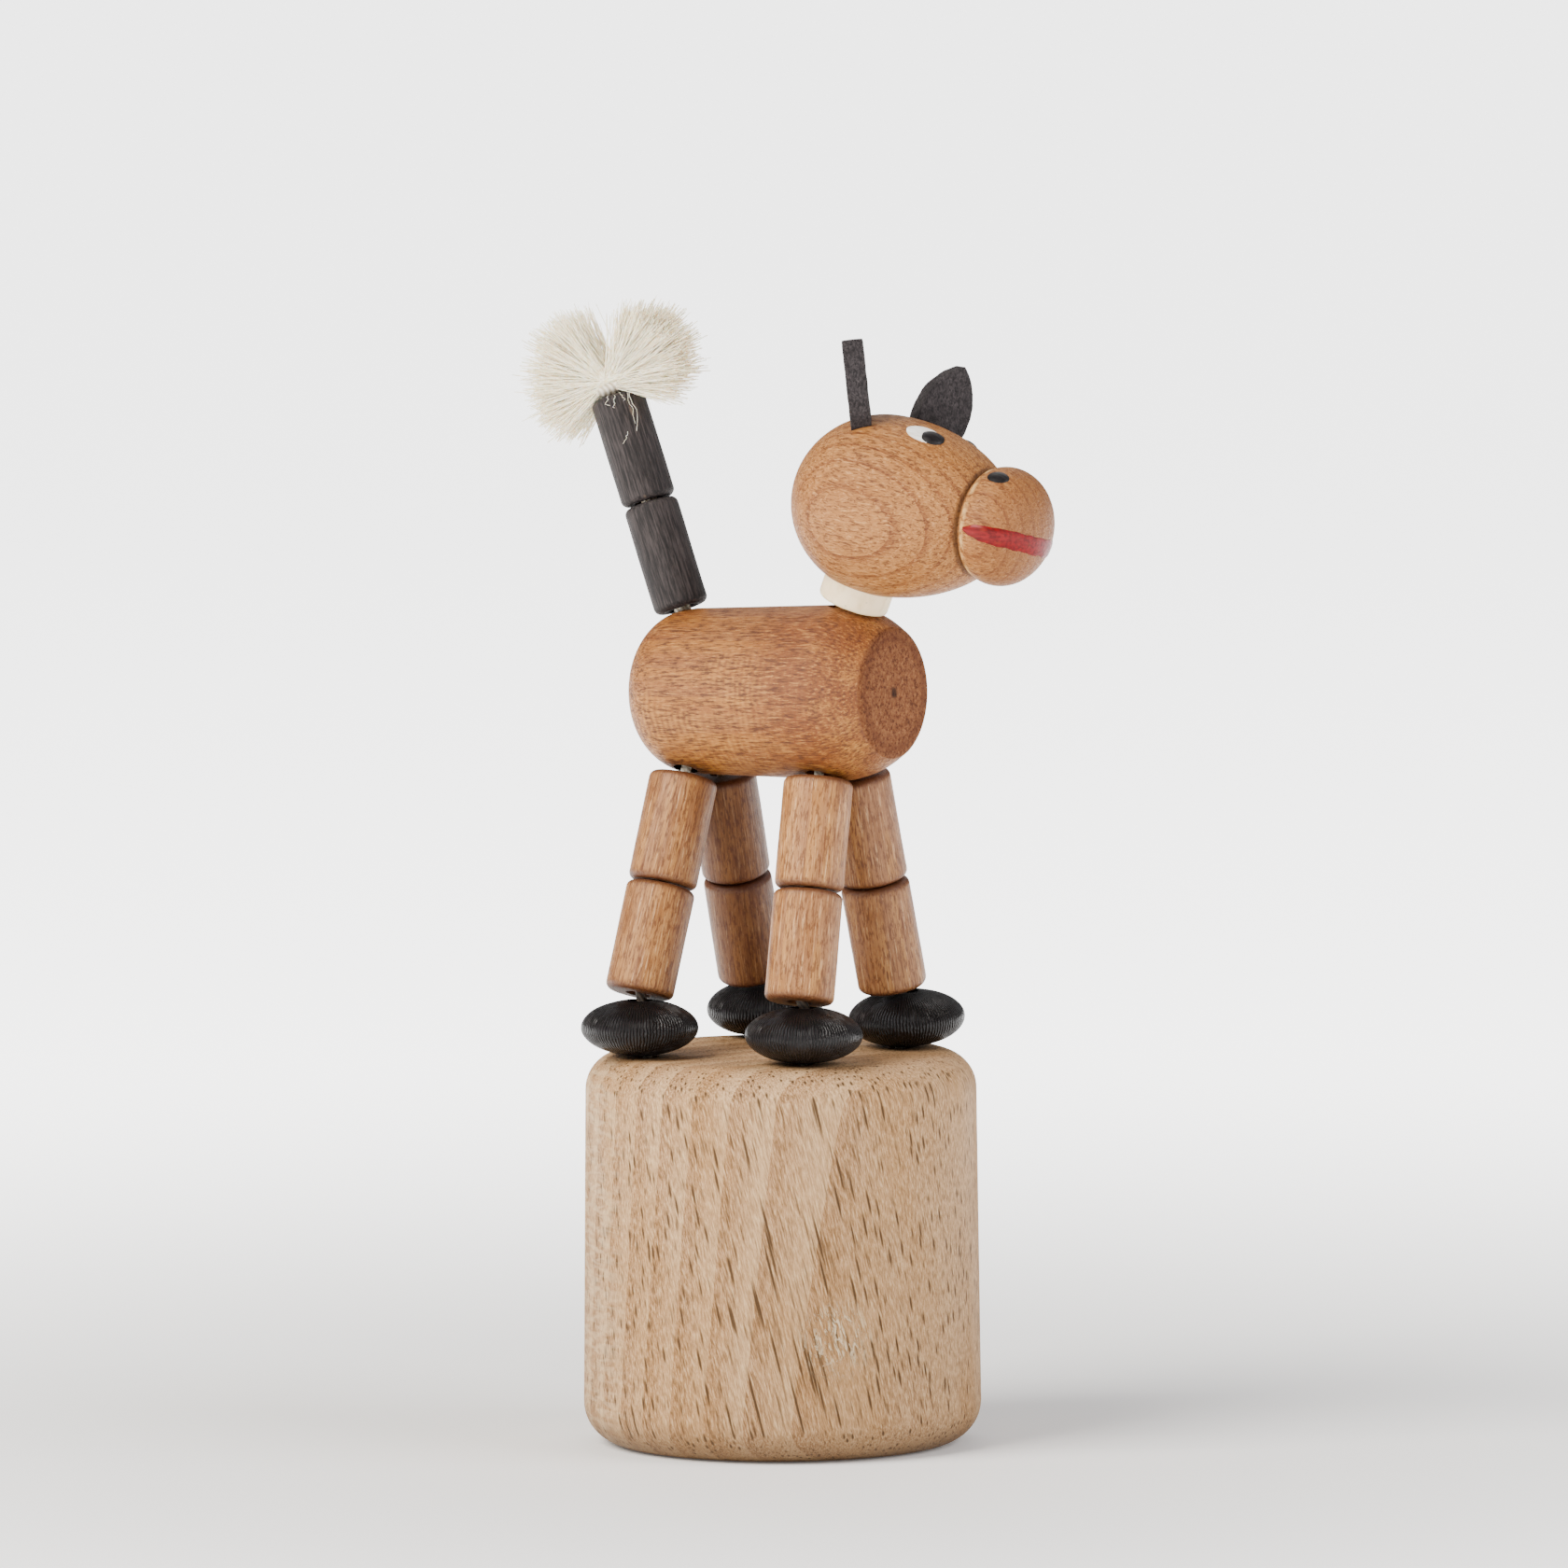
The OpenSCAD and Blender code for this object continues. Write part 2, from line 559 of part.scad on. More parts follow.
// two cords lie side by side in the shared holes
function beside(s) = [0, s * (cord_d / 2 + 0.06), 0];
function front_route(s) = concat(low_route(FRONT, s), [meet(FRONT) + beside(s) + [0, 0, 0.4],
    collar_foot + beside(s), collar_top + beside(s), head_hole_end + beside(s) - neck_dir * 0.3]);
function rear_route(s) = concat(low_route(REAR, s), [meet(REAR) + beside(s) + [0, 0, 0.4],
    tail_foot + beside(s), tail_top + beside(s) + tail_dir * tie_gap / 2]);
module cord_front_left() color(cord_white) tube(front_route(LEFT), cord_d / 2);
module cord_front_right() color(cord_white) tube(front_route(RIGHT), cord_d / 2);
module cord_rear_left() color(cord_white) tube(rear_route(LEFT), cord_d / 2);
module cord_rear_right() color(cord_white) tube(rear_route(RIGHT), cord_d / 2);

base();
push_button();
return_spring();
button_knots();
foot_front_left();
foot_front_right();
foot_rear_left();
foot_rear_right();
shin_front_left();
shin_front_right();
shin_rear_left();
shin_rear_right();
thigh_front_left();
thigh_front_right();
thigh_rear_left();
thigh_rear_right();
body();
neck_collar();
head();
ear_left();
ear_right();
eye_whites();
pupils();
nostrils();
mouth_line();
head_peg();
tail_bead_lower();
tail_bead_upper();
tail_tuft();
tuft_tie();
cord_front_left();
cord_front_right();
cord_rear_left();
cord_rear_right();
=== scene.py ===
import math
import random

import bpy
from mathutils import Matrix, Vector, noise as hash_noise


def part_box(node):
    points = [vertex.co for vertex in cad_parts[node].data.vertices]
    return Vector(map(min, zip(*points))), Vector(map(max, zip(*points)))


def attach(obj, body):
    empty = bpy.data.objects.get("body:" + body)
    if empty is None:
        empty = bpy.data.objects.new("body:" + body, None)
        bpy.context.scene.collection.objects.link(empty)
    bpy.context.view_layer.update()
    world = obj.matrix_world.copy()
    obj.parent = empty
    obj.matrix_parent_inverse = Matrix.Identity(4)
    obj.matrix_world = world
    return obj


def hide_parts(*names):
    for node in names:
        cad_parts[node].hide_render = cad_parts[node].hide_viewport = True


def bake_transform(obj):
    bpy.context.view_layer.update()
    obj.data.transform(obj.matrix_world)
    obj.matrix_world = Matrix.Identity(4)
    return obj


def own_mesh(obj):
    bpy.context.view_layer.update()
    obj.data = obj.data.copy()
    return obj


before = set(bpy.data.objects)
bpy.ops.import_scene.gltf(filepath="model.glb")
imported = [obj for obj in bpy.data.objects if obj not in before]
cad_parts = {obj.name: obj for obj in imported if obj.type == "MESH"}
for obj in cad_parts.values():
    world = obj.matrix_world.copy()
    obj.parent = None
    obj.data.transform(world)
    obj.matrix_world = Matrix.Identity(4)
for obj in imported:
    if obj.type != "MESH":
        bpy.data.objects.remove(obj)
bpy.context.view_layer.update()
bpy.ops.object.select_all(action="DESELECT")
MM = 0.001
X, Y, Z = Vector((1, 0, 0)), Vector((0, 1, 0)), Vector((0, 0, 1))


# Studio: the photo is a close product shot on white paper, lit by one large soft window from the
# upper left and the bright room. The paper is a wide flat disc that glows more with distance, as the
# photo's floor burns out to white. The camera stands where the photo's did.
VIEW_AZIMUTH, VIEW_ELEVATION, VIEW_ROLL = 32.5, 5.0, 0.3
VIEW_DISTANCE, FRAME_WIDTH, SENSOR_WIDTH = 1200, 136.08, 36
VIEW_TARGET = Vector((0.34, 0.21, 57.4))
CLIP_END_M = 50
PAPER_RADIUS, PAPER_SIDES = 8000, 96
GLOW_FROM, GLOW_TO = 20, 330
GLOW_NEAR, GLOW_FAR = 0.08, 3.6
ROOM_LIGHT = 0.22


def colour(code):
    """Linear colour of an sRGB hex code."""
    parts = [int(code[i:i + 2], 16) / 255 for i in (1, 3, 5)]
    return tuple(c / 12.92 if c < 0.04045 else ((c + 0.055) / 1.055) ** 2.4 for c in parts) + (1.0,)


def node(owner, kind, inputs=(), **settings):
    """Adds a shader node to the tree of its owner; each input takes a plain value or a node's output."""
    tree = owner.id_data
    made = tree.nodes.new("ShaderNode" + kind)
    for key, value in settings.items():
        setattr(made, key, value)
    for key, value in dict(inputs).items():
        if isinstance(value, bpy.types.NodeSocket):
            tree.links.new(value, made.inputs[key])
        else:
            made.inputs[key].default_value = value
    return made


def vector_value(operation, first, second=(0, 0, 0)):
    """Value from a place: its length, its distance or its share along a direction."""
    return node(first, "VectorMath", {0: first, 1: second}, operation=operation).outputs["Value"]


def ease(value, low, high, out_low=0.0, out_high=1.0):
    """Smooth step of a value from low to high."""
    return node(value, "MapRange", {"Value": value, "From Min": low, "From Max": high,
                                    "To Min": out_low, "To Max": out_high},
                interpolation_type="SMOOTHSTEP").outputs[0]


def fibre_space(owner, fibre=Z, ring=X, origin=(0, 0, 0)):
    """Object coordinates in mm from an origin: Z along the fibre, X across the growth rings."""
    along = Vector(fibre).normalized()
    side = along.cross(Vector(ring)).normalized()
    turn = Matrix((side.cross(along), side, along))
    place = node(owner, "TexCoord").outputs["Object"]
    return node(owner, "Mapping", {"Vector": place, "Scale": (1 / MM,) * 3, "Rotation": turn.to_euler(),
                                   "Location": turn @ -Vector(origin)}).outputs[0]


def new_material(name, fibre=Z, ring=X, origin=(0, 0, 0)):
    """Empty material and its space in mm, which follows the fibre."""
    made = bpy.data.materials.new(name)
    made.use_nodes = True
    made.node_tree.nodes.clear()
    return made, fibre_space(made.node_tree, fibre, ring, origin)


def dress(obj, material):
    """Gives an object its one material."""
    obj.data.materials.clear()
    obj.data.materials.append(material)


view_az, view_el, view_roll = (math.radians(a) for a in (VIEW_AZIMUTH, VIEW_ELEVATION, VIEW_ROLL))
view_right = Vector((math.cos(view_az), math.sin(view_az), 0))
view_front = Vector((math.sin(view_az), -math.cos(view_az), 0))
view_back = view_front * math.cos(view_el) + Z * math.sin(view_el)
view_up = view_back.cross(view_right)
bpy.ops.object.camera_add()
camera = bpy.context.active_object
camera.data.sensor_width = SENSOR_WIDTH
camera.data.lens = SENSOR_WIDTH * VIEW_DISTANCE / FRAME_WIDTH
camera.data.clip_end = CLIP_END_M
camera.matrix_world = Matrix.Translation((VIEW_TARGET + view_back * VIEW_DISTANCE) * MM) @ Matrix((
    view_right * math.cos(view_roll) - view_up * math.sin(view_roll),
    view_right * math.sin(view_roll) + view_up * math.cos(view_roll),
    view_back)).transposed().to_4x4()
bpy.context.scene.camera = camera

bpy.ops.mesh.primitive_circle_add(vertices=PAPER_SIDES, radius=PAPER_RADIUS * MM, fill_type="NGON")
paper = bpy.context.active_object
paper.name = "paper"
paper_material, place = new_material("white_paper")
glow = ease(vector_value("LENGTH", place), GLOW_FROM, GLOW_TO, GLOW_NEAR, GLOW_FAR)
shade = node(place, "BsdfPrincipled", {"Base Color": colour("#FBFAF8"), "Roughness": 0.7,
                                       "Emission Color": colour("#FFFFFF"), "Emission Strength": glow})
node(place, "OutputMaterial", {"Surface": shade.outputs[0]})
dress(paper, paper_material)


def soft_light(name, direction, distance, size, watts, tint):
    """Square light, sizes in mm, that looks at the figure; direction is right, up and back in the view."""
    way = (view_right * direction[0] + Z * direction[1] + view_back * direction[2]).normalized()
    bpy.ops.object.light_add(type="AREA", location=(VIEW_TARGET + way * distance) * MM)
    light = bpy.context.active_object
    light.name = name
    light.data.size = size * MM
    light.data.energy = watts
    light.data.color = colour(tint)[:3]
    light.rotation_euler = way.to_track_quat("Z", "Y").to_euler()


soft_light("window", (-0.9, 0.85, 0.65), 700, 450, 10.5, "#FFFBF5")
soft_light("room_right", (0.95, 0.6, 0.4), 900, 600, 6.5, "#FAFAFF")
soft_light("room_back", (0.1, 0.9, -0.8), 900, 700, 2.0, "#FFFFFF")
world = bpy.data.worlds.new("room")
world.use_nodes = True
room = world.node_tree.nodes["Background"].inputs
room["Color"].default_value = colour("#FFFFFF")
room["Strength"].default_value = ROOM_LIGHT
bpy.context.scene.world = world


# Base: one beech drum turned on a lathe, edges rounded, left raw. A wide bore from below holds the
# spring, and four cord holes go up through the web that is left above it.
BASE_TOP_R, BASE_FOOT_R, BASE_H = 17.0, 17.3, 34.1
BASE_TOP_ROUND, BASE_FOOT_ROUND = 3.2, 3.6
CAVITY_R, CAVITY_EDGE, WEB_T = 12.5, 0.35, 9.0
WEB_Z = BASE_H - WEB_T
HOLE_SHARE, BASE_HOLE_D, DRILL_OVER = 0.95, 2.2, 2
LEGS = ["front_left", "front_right", "rear_left", "rear_right"]
CREASE = 32  # degrees; sharper edges stay sharp
WAVE_STEP = math.pi / 10  # spacing of a wave texture's bands at scale 1
BAND_RUN = 6.0  # bands wander so much slower along the fibre
OUTWARD = ("normals_make_consistent", {"inside": False})


def edit(*steps):
    """Runs mesh operators in edit mode on everything in the active object."""
    bpy.ops.object.mode_set(mode="EDIT")
    bpy.ops.mesh.select_all(action="SELECT")
    for step, settings in steps:
        getattr(bpy.ops.mesh, step)(**settings)
    bpy.ops.object.mode_set(mode="OBJECT")


def activate(obj):
    """Makes one object the only selected one."""
    bpy.ops.object.select_all(action="DESELECT")
    obj.select_set(True)
    bpy.context.view_layer.objects.active = obj


def added(name, data):
    """New object for a mesh or curve, made active."""
    obj = bpy.data.objects.new(name, data)
    bpy.context.collection.objects.link(obj)
    activate(obj)
    return obj


def from_points(name, points, edges=(), faces=()):
    """Object from points in mm, made active."""
    mesh = bpy.data.meshes.new(name)
    mesh.from_pydata([Vector(p) * MM for p in points], edges, faces)
    return added(name, mesh)


def smooth(crease):
    """Smooth shading on the active object, but for edges sharper than so many degrees."""
    bpy.ops.object.shade_smooth_by_angle(angle=math.radians(crease))


def turned(name, outline, closed=False, steps=96, crease=CREASE):
    """Lathe work: a half outline of (radius, height) points in mm is spun round Z."""
    count = len(outline)
    edges = [(i, i + 1) for i in range(count - 1)] + ([(count - 1, 0)] if closed else [])
    obj = from_points(name, [(r, 0, h) for r, h in outline], edges)
    edit(("spin", {"steps": steps, "angle": math.tau, "center": (0, 0, 0), "axis": (0, 0, 1)}),
         ("remove_doubles", {"threshold": 1e-6}), OUTWARD)
    smooth(crease)
    return obj


def arc(centre, rx, rz, start, end, count):
    """Points of an oval arc in an outline, angles in degrees from the radius direction."""
    turns = [math.radians(start + (end - start) * i / count) for i in range(count + 1)]
    return [(max(0, centre[0] + rx * math.cos(a)), centre[1] + rz * math.sin(a)) for a in turns]


def rounded(radius, height, edge, start, end, count):
    """Points of an outline's outer corner, rounded by an edge."""
    return arc((radius - edge, height - math.copysign(edge, start + end)), edge, edge, start, end, count)


def straight(start, end, count):
    """Points of an outline between two others, which are left out."""
    return [tuple(a + (b - a) * i / count for a, b in zip(start, end)) for i in range(1, count)]


def modify(obj, kind, **settings):
    """Adds a modifier and applies it at once."""
    activate(obj)
    made = obj.modifiers.new(kind.lower(), kind)
    for key, value in settings.items():
        setattr(made, key, value)
    bpy.ops.object.modifier_apply(modifier=made.name)


def stood(foot, along):
    """Place of a shape that stands on point foot (mm) and looks along a direction."""
    turn = Z.rotation_difference(along.normalized()).to_matrix().to_4x4()
    return Matrix.Translation(foot * MM) @ turn


def drill(obj, start, end, diameter, crease=CREASE):
    """Round hole between two points in mm."""
    run = end - start
    bpy.ops.mesh.primitive_cylinder_add(vertices=40, radius=diameter / 2 * MM, depth=run.length * MM)
    bit = bpy.context.active_object
    bit.matrix_world = stood((start + end) / 2, run)
    modify(obj, "BOOLEAN", object=bit, operation="DIFFERENCE", solver="EXACT")
    bpy.data.objects.remove(bit)
    smooth(crease)


def centre_of(name):
    """Middle of a CAD node in mm."""
    low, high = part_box(name)
    return (Vector(low) + Vector(high)) / 2 / MM


def cord_hole(leg, share, height):
    """Point in mm on the way of a leg's cord, at a share of its foot's distance from the axis."""
    foot = centre_of("foot_" + leg)
    return Vector((foot.x * share, foot.y * share, height))


def settle(obj, material, body, cad_node):
    """Material, body to ride on and the CAD node this piece stands for."""
    dress(obj, material)
    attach(obj, body)
    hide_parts(cad_node)


def mix(share, first, second):
    """Colour mixed from two, each a hex code or a colour output."""
    first, second = (colour(c) if isinstance(c, str) else c for c in (first, second))
    owner = share if isinstance(share, bpy.types.NodeSocket) else first
    return node(owner, "Mix", {0: share, 6: first, 7: second}, data_type="RGBA").outputs[2]


def over(tone, code, value, low, high, most):
    """Tone with a colour laid over it, up to its most, as a value goes from low to high."""
    return mix(ease(value, low, high, 0.0, most), tone, code)


def math_of(operation, first, second=0.0):
    """Result of a sum on a value."""
    return node(first, "Math", {0: first, 1: second}, operation=operation).outputs[0]


def times(first, second):
    """Product of two values."""
    return math_of("MULTIPLY", first, second)


def axes_of(space):
    """The three coordinates of a space."""
    return tuple(node(space, "SeparateXYZ", {0: space}).outputs)


def drawn_out(space, across, along):
    """Space in which one unit is so many mm across and along the fibre."""
    return node(space, "VectorMath", {0: space, 1: (1 / across, 1 / across, 1 / along)},
                operation="MULTIPLY").outputs[0]


def noise(space, across, along, detail=2.0, roughness=0.5, distortion=0.0):
    """Cloudy value with patches so many mm across and along the fibre."""
    return node(space, "TexNoise", {"Vector": drawn_out(space, across, along), "Scale": 1.0,
                                    "Detail": detail, "Roughness": roughness,
                                    "Distortion": distortion}).outputs[0]


def bands(space, width, wander, direction="X", profile="SAW"):
    """Growth bands or ripples so many mm wide, and how far they wander."""
    slow = drawn_out(space, 1, BAND_RUN) if direction == "X" else space
    return node(space, "TexWave", {"Vector": slow, "Scale": WAVE_STEP / width, "Distortion": wander,
                                   "Detail": 2.0, "Detail Scale": 0.5, "Detail Roughness": 0.5},
                bands_direction=direction, wave_profile=profile).outputs[1]


def flecks(space, across, along, thin, thick, share):
    """Spindle-shaped marks of one size in mm; share is how many of the places carry one."""
    cells = node(space, "TexVoronoi", {"Vector": drawn_out(space, across, along), "Scale": 1.0})
    pick = node(space, "SeparateColor", {0: cells.outputs["Color"]}).outputs[0]
    spot = ease(cells.outputs["Distance"], thin, thick, 1.0, 0.0)
    return times(spot, math_of("LESS_THAN", pick, share))


def surface(tone, roughness, height=None, depth=0.0, shine=0.5, **more):
    """Ends a material: colour, roughness, a bump of a depth in mm and the strength of the shine."""
    inputs = {"Base Color": tone, "Roughness": roughness, "Specular IOR Level": shine, **more}
    if height is not None:
        inputs["Normal"] = node(tone, "Bump", {"Height": height, "Strength": 1.0,
                                               "Distance": depth * MM}).outputs[0]
    shade = node(tone, "BsdfPrincipled", inputs)
    node(tone, "OutputMaterial", {"Surface": shade.outputs[0]})


# the fibre leans to the right and the ring lines lean to the left; the rings face the right front,
# where the drum was sawn flat and they fade, and at the left the figure is curly
BEECH_FIBRE = Z - 0.24 * view_right
BEECH_RISE = Z + 0.12 * view_right
BEECH_RING = Vector((0.953, -0.301, 0))
RING_SHIFT, RING_MEAN = 1.6, 0.55
TORN_PLACE = view_right * 4.7 + view_front * 16.5 + Z * 11
FLAT_SIDE, CURL_SIDE, SIDE_FADE = 9.0, 12.5, 4.0
# heights in mm over which painted shade darkens the wood towards the floor
PAINTED_SHADE_LOW, PAINTED_SHADE_H = 0.3, 4.0


def raw_beech(name, origin):
    """Raw pale beech: pink-tan growth bands, fine pores and short dark ray flecks."""
    material, space = new_material(name, BEECH_FIBRE, BEECH_RING, origin)
    growth = fibre_space(space, BEECH_RISE, BEECH_RING, origin)
    place = fibre_space(space)
    leftward = vector_value("DOT_PRODUCT", place, -view_right)
    clear = ease(leftward, -FLAT_SIDE, SIDE_FADE - FLAT_SIDE, 0.15, 1.0)
    ring = bands(growth, 3.0, 1.2)  # rings about 3 mm apart
    ring = math_of("ADD", times(math_of("SUBTRACT", ring, RING_MEAN), clear), RING_MEAN)
    tone = mix(ease(ring, 0.0, 1.0), "#A78059", "#BF9A70")
    cloud = noise(space, 6, 24, 3)
    tone = over(tone, "#A2743F", cloud, 0.4, 0.68, 0.4)
    grain = noise(space, 0.13, 1.1, 4, 0.7)  # pores 0.15 mm wide, 1 mm long
    pores = times(ease(grain, 0.45, 0.62), ease(ring, 0.0, 0.9, 0.85, 0.5))
    tone = mix(pores, tone, "#6B4C2D")
    tone = over(tone, "#E0C196", grain, 0.47, 0.33, 0.5)
    ray = flecks(space, 0.48, 14, 0.12, 0.33, 1.0)  # rays 0.3 mm wide, 3 to 8 mm long
    small_ray = flecks(space, 0.34, 6, 0.1, 0.3, 0.8)
    rays = math_of("MAXIMUM", times(ray, 0.95), times(small_ray, 0.6))
    tone = mix(rays, tone, "#463018")
    curl = ease(noise(place, 2.4, 0.55, 2, 0.5, 0.6), 0.42, 0.62)  # curly figure, ripples 0.5 mm
    curl = times(curl, ease(leftward, CURL_SIDE, CURL_SIDE + SIDE_FADE, 0.0, 0.35))
    tone = mix(curl, tone, "#DDC39C")
    torn_near = ease(vector_value("DISTANCE", place, TORN_PLACE), 1.0, 4.2, 1.0, 0.0)
    torn = times(torn_near, ease(noise(space, 0.4, 1.5, 3, 0.7, 1.5), 0.5, 0.6))
    tone = mix(times(torn, 0.9), tone, "#D8C19D")
    # painted shade: the wood darkens towards the floor, as if in the shade where the drum meets the paper
    tone = mix(ease(axes_of(place)[2], PAINTED_SHADE_LOW, PAINTED_SHADE_H, 0.65, 0.0), tone, "#54412D")
    height = math_of("SUBTRACT", math_of("SUBTRACT", torn, rays), times(grain, 0.5))
    surface(tone, ease(cloud, 0.3, 0.7, 0.58, 0.72), height, 0.06, shine=0.2)
    return material


outline = [(r, BASE_H) for r in (0, 4, 8, 11)]
outline += rounded(BASE_TOP_R, BASE_H, BASE_TOP_ROUND, 90, 0, 14)
outline += straight((BASE_TOP_R, BASE_H - BASE_TOP_ROUND), (BASE_FOOT_R, BASE_FOOT_ROUND), 8)
outline += rounded(BASE_FOOT_R, 0, BASE_FOOT_ROUND, 0, -90, 14)
outline += [(CAVITY_R + CAVITY_EDGE, 0)] + [(CAVITY_R, h) for h in (CAVITY_EDGE, 9, 17)]
outline += [(r, WEB_Z) for r in (CAVITY_R, 8, 4, 0)]
base = turned("drum", outline, steps=160)
for leg in LEGS:
    drill(base, cord_hole(leg, HOLE_SHARE, WEB_Z - DRILL_OVER),
          cord_hole(leg, HOLE_SHARE, BASE_H + DRILL_OVER), BASE_HOLE_D)
settle(base, raw_beech("raw_beech_drum", BEECH_RING * RING_SHIFT), "base", "base")


# Push button: a beech disc that slides in the bore from below; each cord is knotted in a pocket on
# its underside. The knots are small balls of the same waxed cord.
BUTTON_R, BUTTON_LOW, BUTTON_T = 12.2, 1.6, 5.0
BUTTON_LOW_EDGE, BUTTON_TOP_EDGE = 0.8, 0.5
BUTTON_TOP = BUTTON_LOW + BUTTON_T
CORD_D, KNOT_D, POCKET_DEPTH, POCKET_D = 0.9, 2.38, 2.4, 3.0
POCKET_TOP = BUTTON_LOW + POCKET_DEPTH
BUTTON_SHARE, BUTTON_HOLE_D = 0.7, 1.8
KNOT_TURN = (0.9, 0.3, 0)

outline = [(r, BUTTON_LOW) for r in (0, 4, 8)]
outline += rounded(BUTTON_R, BUTTON_LOW, BUTTON_LOW_EDGE, -90, 0, 5)
outline += rounded(BUTTON_R, BUTTON_TOP, BUTTON_TOP_EDGE, 0, 90, 4)
outline += [(r, BUTTON_TOP) for r in (8, 4, 0)]
button = turned("push_disc", outline)
knot_places = []
for leg in LEGS:
    drill(button, cord_hole(leg, BUTTON_SHARE, 0), cord_hole(leg, BUTTON_SHARE, POCKET_TOP), POCKET_D)
    drill(button, cord_hole(leg, BUTTON_SHARE, 2), cord_hole(leg, BUTTON_SHARE, 9), BUTTON_HOLE_D)
    knot_places.append(cord_hole(leg, BUTTON_SHARE, POCKET_TOP - KNOT_D / 2))
settle(button, raw_beech("raw_beech_disc", (9, 4, 60)), "button", "push_button")


def cord_material(name, pale, dark):
    """Twisted waxed cotton: pale threads, darker between them."""
    material, space = new_material(name)
    twist = bands(space, 0.35, 1.5, "DIAGONAL", "SIN")  # threads 0.35 mm apart
    surface(mix(twist, dark, pale), 0.7, twist, 0.06)
    return material


def joined(name, pieces):
    """Several meshes as one object."""
    bpy.ops.object.select_all(action="DESELECT")
    for piece in pieces:
        piece.select_set(True)
    bpy.context.view_layer.objects.active = pieces[0]
    bpy.ops.object.join()
    pieces[0].name = name
    return pieces[0]


cord_cotton = cord_material("cord_cotton", "#E4DBC9", "#AD9F88")
loops_and_balls = []
for place in knot_places:
    bpy.ops.mesh.primitive_torus_add(major_segments=24, minor_segments=10, major_radius=KNOT_D * 0.28 * MM,
                                     minor_radius=KNOT_D * 0.2 * MM, location=place * MM, rotation=KNOT_TURN)
    loops_and_balls.append(bpy.context.active_object)
    bpy.ops.mesh.primitive_uv_sphere_add(segments=20, ring_count=12, radius=KNOT_D * 0.4 * MM,
                                         location=place * MM)
    loops_and_balls.append(bpy.context.active_object)
knots = joined("knots", loops_and_balls)
bpy.ops.object.transform_apply()
bpy.ops.object.shade_smooth()
settle(knots, cord_cotton, "button", "button_knots")


# Return spring: six open turns of round steel wire with one closed turn at each end. It stands
# between button and web and flattens as the button is pressed.
SPRING_R, WIRE_R, SPRING_TURNS, TURN_STEPS = 6.0, 0.45, 6, 36
SPRING_LOW, SPRING_HIGH, CLOSED_RISE = 7.07, 24.63, 0.98


def tube(name, routes, radius, sides=10):
    """Round wire or cord along routes of points in mm, as a mesh; a point may carry its own width."""
    curve = bpy.data.curves.new(name, "CURVE")
    curve.dimensions = "3D"
    curve.bevel_depth = radius * MM
    curve.bevel_resolution = max(0, sides // 2 - 2)
    curve.use_fill_caps = True
    for route in routes:
        line = curve.splines.new("POLY")
        line.points.add(len(route) - 1)
        for point, place in zip(line.points, route):
            point.co = (*(Vector(place[:3]) * MM), 1)
            point.radius = place[3] if len(place) > 3 else 1.0
    obj = added(name, curve)
    bpy.ops.object.convert(target="MESH")
    smooth(50)
    return obj


def spring_height(turn):
    """Height of the wire after so many turns."""
    if turn < 1:
        return SPRING_LOW + CLOSED_RISE * turn
    if turn > SPRING_TURNS + 1:
        return SPRING_HIGH - CLOSED_RISE * (SPRING_TURNS + 2 - turn)
    rise = SPRING_HIGH - SPRING_LOW - 2 * CLOSED_RISE
    return SPRING_LOW + CLOSED_RISE + rise * (turn - 1) / SPRING_TURNS


coil = []
for i in range(TURN_STEPS * (SPRING_TURNS + 2) + 1):
    a = math.tau * i / TURN_STEPS
    coil.append((SPRING_R * math.cos(a), SPRING_R * math.sin(a), spring_height(i / TURN_STEPS)))
spring = tube("steel_coil", [coil], WIRE_R, sides=12)
steel, space = new_material("spring_steel")
draw_mark = noise(space, 0.3, 0.12, 3)  # drawing marks 0.1 mm apart
oil = noise(space, 3, 3, 2)
tone = mix(ease(oil, 0.4, 0.7), "#B9BCC0", "#8D8B88")
surface(tone, ease(draw_mark, 0.3, 0.7, 0.22, 0.42), draw_mark, 0.01, Metallic=1.0)
settle(spring, steel, "base", "return_spring")
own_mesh(spring)


# Feet: black-stained flattened beech beads, turned, each on its own cord, standing on the drum.
# The turned face keeps fine ribs that run from pole to pole, and the stain has a dull wax shine.
FOOT_R, FOOT_HALF, FOOT_BORE_R = 5.1, 2.45, 1.2
FOOT_ARC, FOOT_TILT = 76, {"left": 5.0, "right": -1.0}
RIBS, RIB_WANDER = 110, 9


def put(obj, place):
    """Moves the mesh to its place and leaves the object at the origin."""
    activate(obj)
    obj.matrix_world = place
    bpy.ops.object.transform_apply()


def uneven(obj, size, depth):
    """Slight hand-made unevenness: cloud dents of a size and depth in mm."""
    clouds = bpy.data.textures.new(obj.name + "_dents", "CLOUDS")
    clouds.noise_scale = size * MM
    modify(obj, "DISPLACE", texture=clouds, texture_coords="GLOBAL", strength=2 * depth * MM, mid_level=0.5)


def ribbed_stain(name, axis, origin):
    """Black stain on end grain turned to a rim: fine ribs from pole to pole, waxed."""
    material, space = new_material(name, axis, X, origin)
    axes = axes_of(space)
    turn = math_of("ARCTAN2", axes[1], axes[0])
    blur = noise(space, 1.2, 0.8, 3)
    wave = math_of("SINE", math_of("ADD", times(turn, RIBS), times(blur, RIB_WANDER)))
    rib = times(wave, ease(noise(space, 0.9, 2.5, 2), 0.3, 0.65, 0.2, 1.0))  # ribs 0.3 mm apart
    tone = mix(ease(rib, -0.6, 1.0), "#040303", "#1E1717")
    tone = over(tone, "#1E1613", blur, 0.5, 0.8, 0.4)
    surface(tone, ease(blur, 0.3, 0.7, 0.27, 0.42), rib, 0.14, shine=0.24)
    return material


